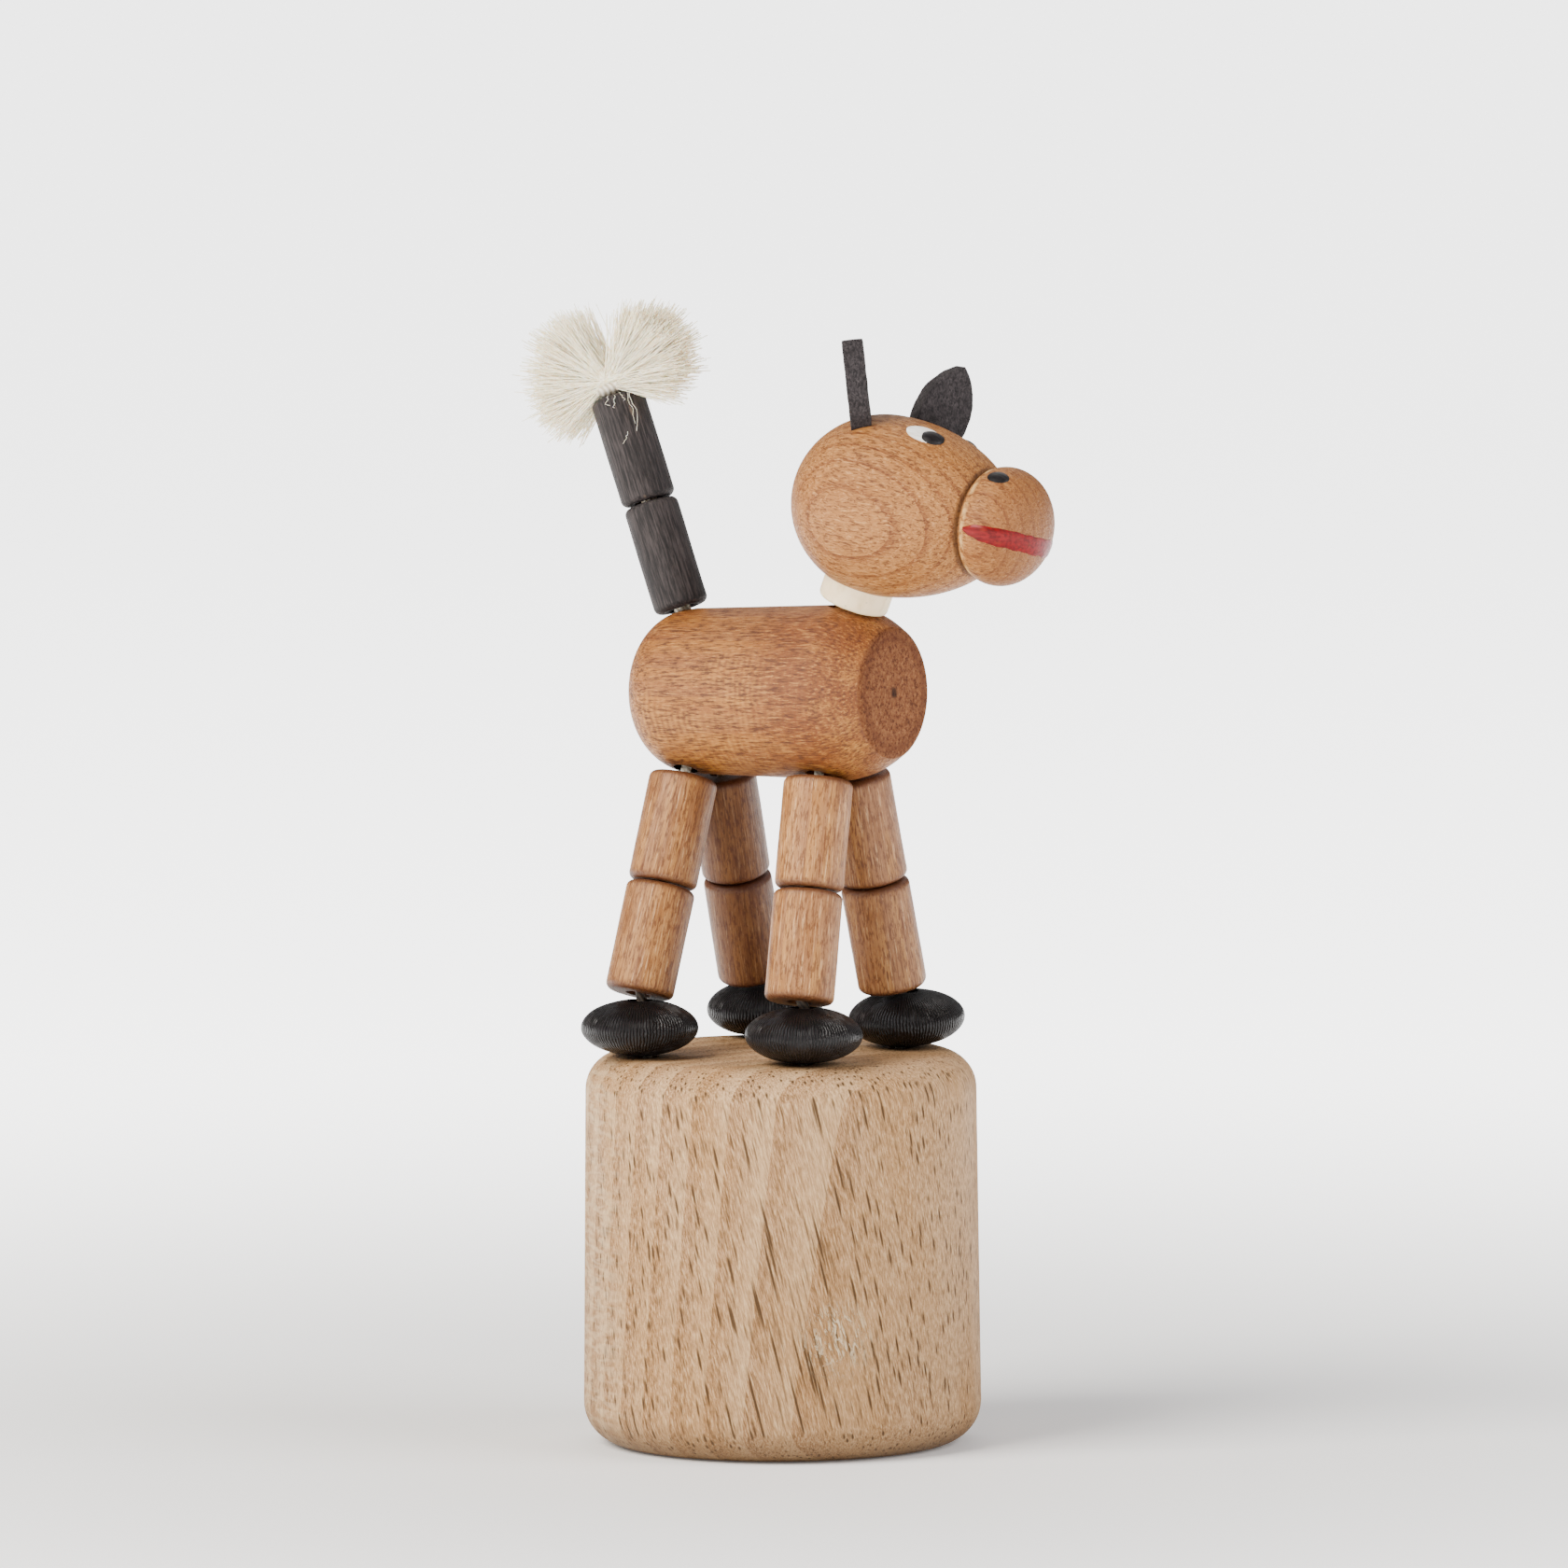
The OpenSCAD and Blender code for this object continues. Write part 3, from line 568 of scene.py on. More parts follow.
round_side = arc((0, 0), FOOT_R, FOOT_HALF, FOOT_ARC, -FOOT_ARC, 40)
outline = [(FOOT_BORE_R, round_side[-1][1]), (FOOT_BORE_R, round_side[0][1])] + round_side
for leg in LEGS:
    lean = math.radians(FOOT_TILT[leg.split("_")[1]])
    axis, middle = Vector((0, -math.sin(lean), math.cos(lean))), centre_of("foot_" + leg)
    foot = turned("hoof_" + leg, outline, closed=True)
    put(foot, stood(middle, axis))
    uneven(foot, 4, 0.05)
    stain = ribbed_stain("hoof_stain_" + leg, axis, middle)
    settle(foot, stain, "foot_" + leg, "foot_" + leg)


# Leg beads: two short lengths of brown-stained birch dowel per leg, drilled through for the cord,
# ends rounded on a belt. The fibre runs along the bead; the cut ends took more stain, and some legs
# are darker all over, on the far left pair partly by stain and partly by painted shade.
LEG_R, LEG_BORE_R, BORE_EDGE = 3.0, 1.0, 0.15
BEAD_L, BEAD_EDGE, BEAD_GAP, RIM_DEPTH = 9.7, 0.6, 0.14, 0.85
# how much darker each leg is: stain, and on the far left legs also painted shade
STAIN_AND_SHADE = {"front_left": 0.24, "front_right": 0.0, "rear_left": 0.62, "rear_right": 0.14}
RING_TURN, RING_STEP, FIBRE_SLOPE = {"shin": 70, "thigh": 160}, 75, 0.03


def bead(name, radius, bore):
    """Drilled dowel length with rounded ends, its middle at the origin."""
    half = BEAD_L / 2
    outline = rounded(radius, -half, BEAD_EDGE, -90, 0, 8)
    outline += straight((radius, -half), (radius, half), 6)
    outline += rounded(radius, half, BEAD_EDGE, 0, 90, 8)
    outline += [(bore + BORE_EDGE, half), (bore, half - BORE_EDGE), (bore, 0), (bore, BORE_EDGE - half),
                (bore + BORE_EDGE, -half)]
    return turned(name, outline, closed=True, steps=64)


def leg_wood(name, fibre, ring, origin, depth):
    """Brown-stained birch dowel: lengthwise streaks, darker at the cut ends, and darker all over by depth,
    which is stain and, on the far legs, painted shade.
    """
    material, space = new_material(name, fibre, ring, origin)
    band = bands(space, 1.5, 1.5)  # rings 1.5 mm apart
    tone = mix(ease(band, 0.1, 1.0), "#996940", "#AC7842")
    tone = over(tone, "#83501F", noise(space, 1.6, 3.5, 3), 0.45, 0.7, 0.6)
    streak = noise(space, 0.15, 3.6, 4, 0.7)  # streaks 0.15 mm wide
    tone = over(tone, "#5A3014", streak, 0.5, 0.66, 0.8)
    tone = over(tone, "#D3A878", streak, 0.45, 0.32, 0.75)
    pore = noise(space, 0.22, 0.9, 3, 0.65)  # pores under 1 mm long
    tone = over(tone, "#5E3314", pore, 0.5, 0.62, 0.75)
    fleck = flecks(space, 0.5, 3.0, 0.06, 0.24, 0.4)
    tone = mix(times(fleck, 0.8), tone, "#452408")
    from_middle = math_of("ABSOLUTE", axes_of(space)[2])
    rim = ease(from_middle, BEAD_L / 2 - RIM_DEPTH, BEAD_L / 2 - 0.05)
    tone = mix(times(rim, 0.85), tone, "#4C2815")
    # darker all over by depth: stain, and on the far legs also painted shade
    tone = mix(depth, tone, "#3C190B")
    surface(tone, ease(streak, 0.3, 0.7, 0.34, 0.5), streak, 0.06, shine=0.3)
    return material


leg_up, thigh_top = {}, {}
for number, leg in enumerate(LEGS):
    middles = {part: centre_of(part + "_" + leg) for part in ("shin", "thigh")}
    leg_up[leg] = (middles["thigh"] - middles["shin"]).normalized()
    thigh_top[leg] = middles["thigh"] + leg_up[leg] * BEAD_L / 2
    for part, middle in middles.items():
        piece = bead(part + "_bead_" + leg, LEG_R, LEG_BORE_R)
        put(piece, stood(middle, leg_up[leg]))
        uneven(piece, 5, 0.04)
        a = math.radians(RING_TURN[part] + RING_STEP * number)
        ring = Vector((math.cos(a), math.sin(a), 0))
        grain = leg_wood(part + "_wood_" + leg, leg_up[leg] + X * FIBRE_SLOPE, ring, middle, STAIN_AND_SHADE[leg])
        settle(piece, grain, part + "_" + leg, part + "_" + leg)


# Body: a stout brown-stained dowel, turned to a short cone at the shoulder and rounded behind. Holes
# for the legs, the neck and the tail are drilled into it, and the cords cross inside.
BODY_MID, BODY_PITCH, BODY_CREASE = Vector((-1.0, 0, 65.408)), 1.727, 40
BODY_R, BODY_REAR_R, BODY_REAR_L, BODY_FRONT_L = 7.6, 7.2, 12.0, 12.8
REAR_ROUND, FACE_R = 4.6, 5.4
SHOULDER_FROM, SHOULDER_TO, SHOULDER_END_R = 8.3, 12.55, 5.75
BULGE_OUT, BULGE_AHEAD = 0.252, 0.14
HIP_BORE_D, NECK_BORE_D, TAIL_BORE_D = 2.2, 3.0, 2.6
NECK_LEAN = 22
pitch = math.radians(BODY_PITCH)
body_dir = Vector((math.cos(pitch), 0, math.sin(pitch)))

outline = [(0, -BODY_REAR_L)] + rounded(BODY_REAR_R, -BODY_REAR_L, REAR_ROUND, -90, 0, 18)
outline += straight((BODY_REAR_R, REAR_ROUND - BODY_REAR_L), (BODY_R, SHOULDER_FROM), 8)
for i in range(15):
    share = i / 14
    bulge = math.sin(math.pi * share)
    outline.append((BODY_R + (SHOULDER_END_R - BODY_R) * share + BULGE_OUT * bulge,
                    SHOULDER_FROM + (SHOULDER_TO - SHOULDER_FROM) * share + BULGE_AHEAD * bulge))
outline += [(FACE_R + 0.12, BODY_FRONT_L - 0.06), (FACE_R - 0.15, BODY_FRONT_L),
            (3.6, BODY_FRONT_L - 0.02), (1.8, BODY_FRONT_L), (0, BODY_FRONT_L)]
body = turned("barrel", outline, steps=128, crease=BODY_CREASE)
put(body, stood(BODY_MID, body_dir))

meet = {}
for leg in LEGS:
    top, up = thigh_top[leg], leg_up[leg]
    meet[leg] = top + up * abs(top.y / up.y)
    drill(body, top - up * DRILL_OVER, meet[leg], HIP_BORE_D, BODY_CREASE)
collar_mid = centre_of("neck_collar")
neck_lean = math.radians(NECK_LEAN)
neck_dir = Vector((math.sin(neck_lean), 0, math.cos(neck_lean)))
tail_dir = (centre_of("tail_bead_upper") - centre_of("tail_bead_lower")).normalized()
tail_foot = centre_of("tail_bead_lower") - tail_dir * BEAD_L / 2
drill(body, meet["front_left"] - neck_dir, collar_mid + neck_dir * 3, NECK_BORE_D, BODY_CREASE)
drill(body, meet["rear_left"] - tail_dir, tail_foot + tail_dir, TAIL_BORE_D, BODY_CREASE)

brown_wood, space = new_material("brown_wood", body_dir, (0, 0.35, 1), BODY_MID)
upward, sideways, ahead = axes_of(space)
ring = bands(space, 2.6, 2.0)  # rings 2.6 mm apart
tone = mix(ease(ring, 0.1, 1.0), "#845022", "#955C1F")
ripple = bands(space, 0.6, 6.0, "Z", "SIN")  # cross ripples 0.6 mm apart
belt = ease(upward, 3.5, -0.5)
ripple_place = times(belt, ease(noise(space, 5, 6, 1), 0.35, 0.6, 0.1, 0.6))
tone = mix(times(ripple, ripple_place), tone, "#B57B33")
tone = over(tone, "#7A3F12", noise(space, 0.8, 14, 3), 0.45, 0.75, 0.5)
stain = times(ease(noise(space, 4.5, 6.5, 2), 0.4, 0.6, 0.0, 0.85), ease(ahead, -2.0, 7.0))
tone = mix(stain, tone, "#6E3606")
dash = noise(space, 0.18, 1.2, 4, 0.7)  # pores 0.2 mm wide, 1.2 mm long
tone = over(tone, "#47230A", dash, 0.49, 0.61, 0.9)
tone = over(tone, "#BC8340", dash, 0.46, 0.34, 0.6)
radius = vector_value("LENGTH", node(space, "CombineXYZ", {0: upward, 1: sideways}).outputs[0])
end = ease(ahead, BODY_FRONT_L - 0.3, BODY_FRONT_L - 0.12)
end_rings = node(space, "TexWave", {"Vector": space, "Scale": 0.3, "Distortion": 2.5, "Detail": 3.0},
                 wave_type="RINGS", rings_direction="Z").outputs[1]  # rings 1 mm apart
end_tone = mix(times(end_rings, 0.35), "#704428", "#875838")
end_pores = noise(space, 0.3, 0.3, 4, 0.75)  # open pores of the end grain
end_tone = over(end_tone, "#3E1E0D", end_pores, 0.49, 0.6, 0.85)
end_tone = over(end_tone, "#AA7548", end_pores, 0.44, 0.32, 0.5)
end_tone = mix(ease(radius, 0.25, 0.7, 0.85, 0.0), end_tone, "#1E0D06")  # the lathe's centre mark
rim_ring = times(ease(radius, 4.2, 4.7), ease(radius, 4.8, 5.2, 1.0, 0.3))
end_tone = mix(times(rim_ring, 0.5), end_tone, "#4A2412")
rough = math_of("MAXIMUM", ease(dash, 0.35, 0.65, 0.34, 0.58), times(end, 0.8))
surface(mix(end, tone, end_tone), rough, times(dash, -1), 0.12, shine=ease(end, 0.0, 1.0, 0.35, 0.12))
settle(body, brown_wood, "torso", "body")


# Neck collar: a short ivory plastic tube, cut from a length and a little chipped at its ends. It
# stands on the shoulder in front of the neck hole, and the head is seated on it.
COLLAR_R, COLLAR_H, COLLAR_EDGE, COLLAR_BORE_R = 3.1, 2.5, 0.3, 1.5
collar_low, collar_top = collar_mid - neck_dir * COLLAR_H / 2, collar_mid + neck_dir * COLLAR_H / 2
outline = rounded(COLLAR_R, 0, COLLAR_EDGE, -90, 0, 5)
outline += rounded(COLLAR_R, COLLAR_H, COLLAR_EDGE, 0, 90, 5)
outline += [(COLLAR_BORE_R, COLLAR_H), (COLLAR_BORE_R, 0)]
collar = turned("collar_tube", outline, closed=True, steps=72)
put(collar, stood(collar_low, neck_dir))
uneven(collar, 1.5, 0.04)
ivory, space = new_material("ivory_plastic", neck_dir, X, collar_mid)
scuff = noise(space, 0.9, 1.6, 4, 0.6)  # scuffs about 1 mm wide
tone = mix(ease(scuff, 0.45, 0.75), "#F0D9B0", "#E3C899")
dirt = flecks(space, 0.8, 0.6, 0.08, 0.25, 0.25)
tone = mix(times(dirt, 0.7), tone, "#6B5746")
surface(tone, ease(scuff, 0.3, 0.7, 0.35, 0.55), scuff, 0.015,
        **{"Subsurface Weight": 0.15, "Subsurface Scale": 0.001})
settle(collar, ivory, "neck", "neck_collar")


# Head: one piece of light brown wood, turned like a skittle: a ball behind, a long egg in front, a
# sharp groove, then the muzzle. A socket below takes the collar, a peg in it holds the cord ends.
HEAD_R, HEAD_BACK, NOSE_L, HEAD_CREASE = 7.85, 8.4, 9.8, 28
GROOVE_R, GROOVE_DEPTH, MUZZLE_R, MUZZLE_L = 4.7, 0.35, 5.15, 6.2
HEAD_PITCH, SEAT_DEPTH, SEAT_ROOM, HEAD_BORE_DEPTH = 7.0, 1.1, 0.2, 5.9
PEG_L, PEG_R = 3.6, 0.45
EGG_L = NOSE_L / math.sqrt(1 - (GROOVE_R / HEAD_R) ** 2)
MUZZLE_MID, MUZZLE_HALF = NOSE_L + 0.34 * MUZZLE_L, 0.66 * MUZZLE_L
head_mid = collar_top + neck_dir * (HEAD_R - SEAT_DEPTH)
head_turn = math.radians(HEAD_PITCH)
nose_dir = Vector((math.cos(head_turn), 0, -math.sin(head_turn)))
crown_dir = Vector((math.sin(head_turn), 0, math.cos(head_turn)))

outline = arc((0, 0), HEAD_R, HEAD_BACK, -90, 0, 30)
outline += arc((0, 0), HEAD_R, EGG_L, 0, math.degrees(math.acos(GROOVE_R / HEAD_R)), 24)[1:]
outline += [(GROOVE_R - GROOVE_DEPTH, NOSE_L + 0.16), (GROOVE_R - GROOVE_DEPTH, NOSE_L + 0.24),
            (GROOVE_R - 0.05, NOSE_L + 0.44)]
outline += arc((0, MUZZLE_MID), MUZZLE_R, MUZZLE_HALF, -20, 90, 26)
head = turned("skittle_head", outline, steps=128, crease=HEAD_CREASE)
put(head, stood(head_mid, nose_dir))
drill(head, collar_top - neck_dir * 4, collar_top + neck_dir * 0.1, 2 * COLLAR_R + SEAT_ROOM, HEAD_CREASE)
drill(head, collar_top - neck_dir, collar_top + neck_dir * HEAD_BORE_DEPTH, 2 * COLLAR_BORE_R, HEAD_CREASE)

head_wood, space = new_material("light_brown_wood", nose_dir, (0, 1, 0.12), head_mid - Y * 1.5)
ring = bands(space, 1.15, 1.3)  # rings 1.2 mm apart
tone = mix(ease(ring, 0.0, 0.35), "#7A461B", "#9E6832")
tone = over(tone, "#8E561A", noise(space, 4, 9, 3), 0.4, 0.7, 0.5)
dash = noise(space, 0.18, 0.8, 4, 0.7, 0.8)  # pores 0.2 mm wide, under 1 mm long
tone = over(tone, "#4E260B", dash, 0.49, 0.62, 0.85)
tone = over(tone, "#C9955A", dash, 0.46, 0.33, 0.6)
from_groove = math_of("SUBTRACT", axes_of(space)[2], NOSE_L)
tone = over(tone, "#6C3A12", from_groove, 0.6, 0.8 * MUZZLE_L, 0.5)  # thirsty end grain
# painted shade: the wood is darker down in the groove
groove_shade = times(ease(from_groove, -0.15, 0.05), ease(from_groove, 0.3, 0.55, 1.0, 0.0))
tone = mix(times(groove_shade, 0.7), tone, "#513218")
# a pale rim just behind the groove: partly real wear and partly a painted highlight
worn_lit_edge = times(ease(from_groove, 0.55, 0.75), ease(from_groove, 0.9, 1.3, 1.0, 0.0))
wear_and_highlight = times(worn_lit_edge, ease(noise(space, 0.8, 0.8, 3), 0.4, 0.6, 0.0, 0.8))
tone = mix(wear_and_highlight, tone, "#D1A76A")
surface(tone, ease(dash, 0.35, 0.65, 0.36, 0.58), times(dash, -1), 0.1, shine=0.3)
settle(head, head_wood, "head", "head")

peg = turned("cord_peg", [(0, -PEG_L / 2), (PEG_R, -PEG_L / 2), (PEG_R, PEG_L / 2), (0, PEG_L / 2)], steps=24)
put(peg, stood(centre_of("head_peg"), neck_dir))
settle(peg, raw_beech("raw_beech_peg", (3, 3, 3)), "head", "head_peg")


# Ears: two pointed leaves cut from thick dark grey pressed felt. They are glued into slits in the
# crown by hand, so they stand unevenly.
EAR_L, EAR_W, EAR_T, EAR_SUNK, EAR_EDGE = 9.4, 4.8, 1.8, 1.8, 0.18
EAR_BOW = (EAR_L ** 2 + EAR_W ** 2) / (4 * EAR_W)
FACE_ROLL = 10.5  # the whole face sits so many degrees to the horse's left
EAR_ROUND = 29.5  # degrees from the crown to either side
EARS = {"right": (-1, -1.9, 0.3, (13, -6, 33)),  # side, ahead, sunk, turns about X, Y and Z
        "left": (1, 1.0, 1.3, (-25, 0, -33))}

felt, space = new_material("ear_felt", origin=head_mid)
nap = noise(space, 0.22, 0.4, 4, 0.7, 1.0)  # matted fibres 0.2 mm wide
tone = mix(ease(nap, 0.36, 0.66), "#141112", "#3F393A")
tone = over(tone, "#1A1617", noise(space, 1.6, 1.6, 3), 0.4, 0.7, 0.45)
surface(tone, 0.75, nap, 0.14, shine=0.2)


def head_radius(along):
    """Radius of the head at a distance ahead of its widest place."""
    return HEAD_R * math.sqrt(1 - (along / (HEAD_BACK if along < 0 else EGG_L)) ** 2)


def on_head(along, turn, radius):
    """Point of the head in mm: distance ahead, turn in degrees from the crown to the left."""
    a = math.radians(turn)
    return head_mid + nose_dir * along + (crown_dir * math.cos(a) + Y * math.sin(a)) * radius


def turn_about(angle, axis):
    """Rotation matrix, angle in degrees."""
    return Matrix.Rotation(math.radians(angle), 4, axis)


heights = [EAR_L / 2 * math.sin(math.radians(a)) for a in range(-90, 91, 6)]
leaf = [(math.sqrt(EAR_BOW ** 2 - h ** 2) - (EAR_BOW - EAR_W / 2), h) for h in heights]
leaf += [(-w, h) for w, h in leaf[-2:0:-1]]
leaf = [(-EAR_T / 2, w, h + EAR_L / 2 - EAR_SUNK) for w, h in leaf if h > -EAR_L / 2 + 1]
for side, (sign, along, sunk, turns) in EARS.items():
    ear = from_points("ear_leaf_" + side, leaf, faces=[tuple(range(len(leaf)))])
    edit(("extrude_region_move", {"TRANSFORM_OT_translate": {"value": (EAR_T * MM, 0, 0)}}), OUTWARD)
    modify(ear, "BEVEL", width=EAR_EDGE * MM, segments=3, limit_method="ANGLE", angle_limit=math.radians(50))
    edit(("quads_convert_to_tris", {}), ("subdivide", {"number_cuts": 2}))
    foot = on_head(along, FACE_ROLL + sign * EAR_ROUND, head_radius(along) - sunk)
    put(ear, Matrix.Translation(foot * MM) @ turn_about(turns[2], "Z") @ turn_about(turns[1], "Y")
        @ turn_about(turns[0], "X"))
    uneven(ear, 1.3, 0.09)
    smooth(45)
    settle(ear, felt, "head", "ear_" + side)


# Face: gloss paint put on by brush. A white oval with a raised black drop for each eye, a black drop
# for each nostril, and one red stroke round the muzzle, thin and ragged at both ends.
EYE_ALONG, EYE_TURN, EYE_L, EYE_W, PUPIL_D = 4.4, 27.5, 3.3, 2.4, 2.0
NOSTRIL_ALONG, NOSTRIL_TURN, NOSTRIL_L, NOSTRIL_W = 2.5, 38.5, 1.95, 1.575
PAINT_T, PUPIL_RISE, NOSTRIL_RISE, PAINT_SUNK = 0.12, 0.41, 0.15, 0.25
PUPIL_ALONG = EYE_ALONG + (EYE_L - PUPIL_D) / 2 + 0.2
WOBBLE = 0.06
MOUTH_H, MOUTH_DOWN, MOUTH_REACH = 1.55, 1.0, 104
MOUTH_DIP = 1.5 * math.tan(math.radians(7))  # lower in front than at the sides
MOUTH_EDGE, MOUTH_RISE, MOUTH_SUNK = 0.03, 0.07, 0.2
MOUTH_STEPS, MOUTH_ROWS = 90, 8


def muzzle_radius(along):
    """Radius of the muzzle at a distance ahead of the head's widest place."""
    return MUZZLE_R * math.sqrt(1 - ((along - MUZZLE_MID) / MUZZLE_HALF) ** 2)


def gloss_paint(name, main, deep, thin_share):
    """Enamel put on by brush: deeper where it pooled, wood showing where it is thin."""
    material, space = new_material(name, nose_dir, Y, head_mid)
    brush = noise(space, 0.25, 2.5, 3, 0.6)  # brush marks 0.25 mm wide
    tone = mix(ease(brush, 0.35, 0.7), main, deep)
    thin = noise(space, 0.5, 1.4, 3)
    tone = over(tone, "#985A26", thin, 0.62 - thin_share, 0.8 - thin_share, thin_share)
    surface(tone, ease(brush, 0.3, 0.7, 0.3, 0.45), brush, 0.03, shine=0.2)
    return material


def film(name, points, faces):
    """Closed thin film of paint."""
    obj = from_points(name, points, faces=faces)
    edit(OUTWARD)
    smooth(60)
    return obj


def oval_mark(name, turn, seed, along, radius_at, length, width, rise, edge):
    """Painted oval on the head; rise in mm in its middle, edge in mm at its rim, hand-drawn outline."""
    def place(share, angle, layer):
        wobble = 1 + WOBBLE * hash_noise.noise((math.cos(angle) * 1.5, math.sin(angle) * 1.5, seed))
        ahead = along + share * wobble * length / 2 * math.cos(angle)
        across = share * wobble * width / 2 * math.sin(angle)
        radius = radius_at(ahead)
        lift = edge + (rise - edge) * (1 - share ** 2) if layer > 0 else -PAINT_SUNK
        return on_head(ahead, turn + math.degrees(across / radius), radius + lift)

    rings, count = 8, 40
    points, faces = [place(0, 0, 1), place(0, 0, -1)], []
    for layer in (1, -1):
        for ring in range(1, rings + 1):
            points += [place(ring / rings, math.tau * i / count, layer) for i in range(count)]
    top, low, rim = 2, 2 + rings * count, (rings - 1) * count
    for centre, first in enumerate((top, low)):
        for i in range(count):
            j = (i + 1) % count
            faces.append((centre, first + i, first + j))
            faces += [(a + i, a + count + i, a + count + j, a + j) for a in range(first, first + rim, count)]
    faces += [(top + rim + i, low + rim + i, low + rim + (i + 1) % count, top + rim + (i + 1) % count)
              for i in range(count)]
    return film(name, points, faces)


def both_sides(name, turn, seed, **shape):
    """A painted oval on either side of the face, as one object."""
    return joined(name, [oval_mark(name, FACE_ROLL + s * turn, seed + s, **shape) for s in (1, -1)])


eyes = both_sides("eye_ovals", EYE_TURN, 3, along=EYE_ALONG, radius_at=head_radius, length=EYE_L, width=EYE_W,
                  rise=PAINT_T, edge=0.04)
settle(eyes, gloss_paint("white_enamel", "#F5F2EB", "#DCD6C8", 0.05), "head", "eye_whites")
black_enamel = gloss_paint("black_enamel", "#121011", "#1E1A1A", 0.0)
pupils = both_sides("pupil_drops", EYE_TURN, 7, along=PUPIL_ALONG, radius_at=head_radius, length=PUPIL_D,
                    width=PUPIL_D, rise=PUPIL_RISE, edge=0.08)
settle(pupils, black_enamel, "head", "pupils")
nostrils = both_sides("nostril_drops", NOSTRIL_TURN, 12, along=NOSE_L + NOSTRIL_ALONG,
                      radius_at=muzzle_radius, length=NOSTRIL_L, width=NOSTRIL_W, rise=NOSTRIL_RISE,
                      edge=0.03)
settle(nostrils, black_enamel, "head", "nostrils")


def mouth_point(u, v, lift):
    """Point of the red stroke: u runs from corner to corner, v from its lower to its upper edge."""
    beta, roll = math.radians(MOUTH_REACH) * u, math.radians(FACE_ROLL)
    taper = 1 - 0.75 * abs(u) ** 6
    ragged = 0.12 * hash_noise.noise((u * 9, v * 2, 0.3)) + 0.05 * hash_noise.noise((u * 31, v * 3, 2.2))
    down = MOUTH_DOWN + MOUTH_DIP * math.cos(beta) - v * (MOUTH_H / 2 * taper + ragged)
    share = math.sqrt(1 - (down / MUZZLE_R) ** 2)
    out = Vector((-down / MUZZLE_R, math.sin(beta) * share, math.cos(beta) * share)).normalized() * lift
    ahead = MUZZLE_MID + MUZZLE_HALF * share * math.cos(beta) + out.z
    high, side = out.x - down, MUZZLE_R * share * math.sin(beta) + out.y
    return (head_mid + nose_dir * ahead + crown_dir * (high * math.cos(roll) - side * math.sin(roll))
            + Y * (high * math.sin(roll) + side * math.cos(roll)))


points, faces = [], []
for layer in (1, -1):
    for i in range(MOUTH_STEPS + 1):
        for k in range(MOUTH_ROWS + 1):
            u, v = 2 * i / MOUTH_STEPS - 1, 2 * k / MOUTH_ROWS - 1
            lift = MOUTH_EDGE + MOUTH_RISE * (1 - v ** 4) if layer > 0 else -MOUTH_SUNK
            points.append(mouth_point(u, v, lift))
row, sheet_size = MOUTH_ROWS + 1, (MOUTH_STEPS + 1) * (MOUTH_ROWS + 1)
for start in (0, sheet_size):
    corners = [start + i * row + k for i in range(MOUTH_STEPS) for k in range(MOUTH_ROWS)]
    faces += [(c, c + row, c + row + 1, c + 1) for c in corners]
rim = [i * row for i in range(MOUTH_STEPS + 1)] + [MOUTH_STEPS * row + k for k in range(1, row)]
rim += [i * row + MOUTH_ROWS for i in range(MOUTH_STEPS - 1, -1, -1)] + list(range(MOUTH_ROWS - 1, 0, -1))
faces += [(a, b, b + sheet_size, a + sheet_size) for a, b in zip(rim, rim[1:] + rim[:1])]
mouth = film("mouth_stroke", points, faces)
settle(mouth, gloss_paint("red_enamel", "#780206", "#4E0103", 0.08), "head", "mouth_line")


# Tail: two thin black-stained dowel beads, drilled through, on the two rear cords. They stand on the
# round of the body's rear end, matt, with grey-brown streaks where the stain is worn.
TAIL_R, TAIL_BORE_R = 2.4, 1.3
GRAIN_SHIFT = {"lower": 0, "upper": 3}


def black_stain(name, origin):
    """Black-stained wood: grey-brown streaks where the stain is thin, pores and a dull wax."""
    material, space = new_material(name, tail_dir, Y, origin)
    streak = noise(space, 0.18, 2.4, 4, 0.7)  # streaks 0.2 mm wide
    tone = mix(ease(streak, 0.36, 0.72), "#151111", "#403938")
    tone = over(tone, "#141111", noise(space, 2.2, 5, 2), 0.45, 0.75, 0.4)
    bare = flecks(space, 0.7, 2.2, 0.1, 0.35, 0.12)
    tone = mix(times(bare, 0.6), tone, "#6B5A4C")
    surface(tone, math_of("ADD", times(streak, 0.2), 0.52), streak, 0.07, shine=0.2)
    return material


for part in ("lower", "upper"):
    middle = centre_of("tail_bead_" + part)
    piece = bead("tail_dowel_" + part, TAIL_R, TAIL_BORE_R)
    put(piece, stood(middle, tail_dir))
    uneven(piece, 4, 0.05)
    stain = black_stain("tail_stain_" + part, middle + X * GRAIN_SHIFT[part])
    settle(piece, stain, "tail_" + part, "tail_bead_" + part)


# Tuft: a pinch of cream wool yarn held across the tail end by the knotted cords. It opens into two
# fans with a gap between them, wavy fibres in locks, a few loose ones down the bead.
TUFT_LIFT = 1.2
FANS = ((175, 57, 8.4), (33, 41, 8.8))  # middle and half spread in degrees, reach in mm
LOCKS, STRANDS, FIBRE_STEPS, FIBRE_R = 56, 32, 5, 0.05
LOOSE = ((-150, 0.2, 4.2), (-145, 0.3, 2.8), (-118, 0.2, 1.2), (-105, 0.1, 0.9), (-122, 3.6, 0.9),
         (-128, 0.1, 0.8), (80, 0.3, 2.6), (150, 0.3, 2.0))
LOOSE_STEPS, LOOSE_WIDTH = 8, 0.35
TIE_R, TIE_L = 1.7, 1.2
tie_at = tail_foot + tail_dir * (2 * BEAD_L + BEAD_GAP + TUFT_LIFT)
rng = random.Random(870)


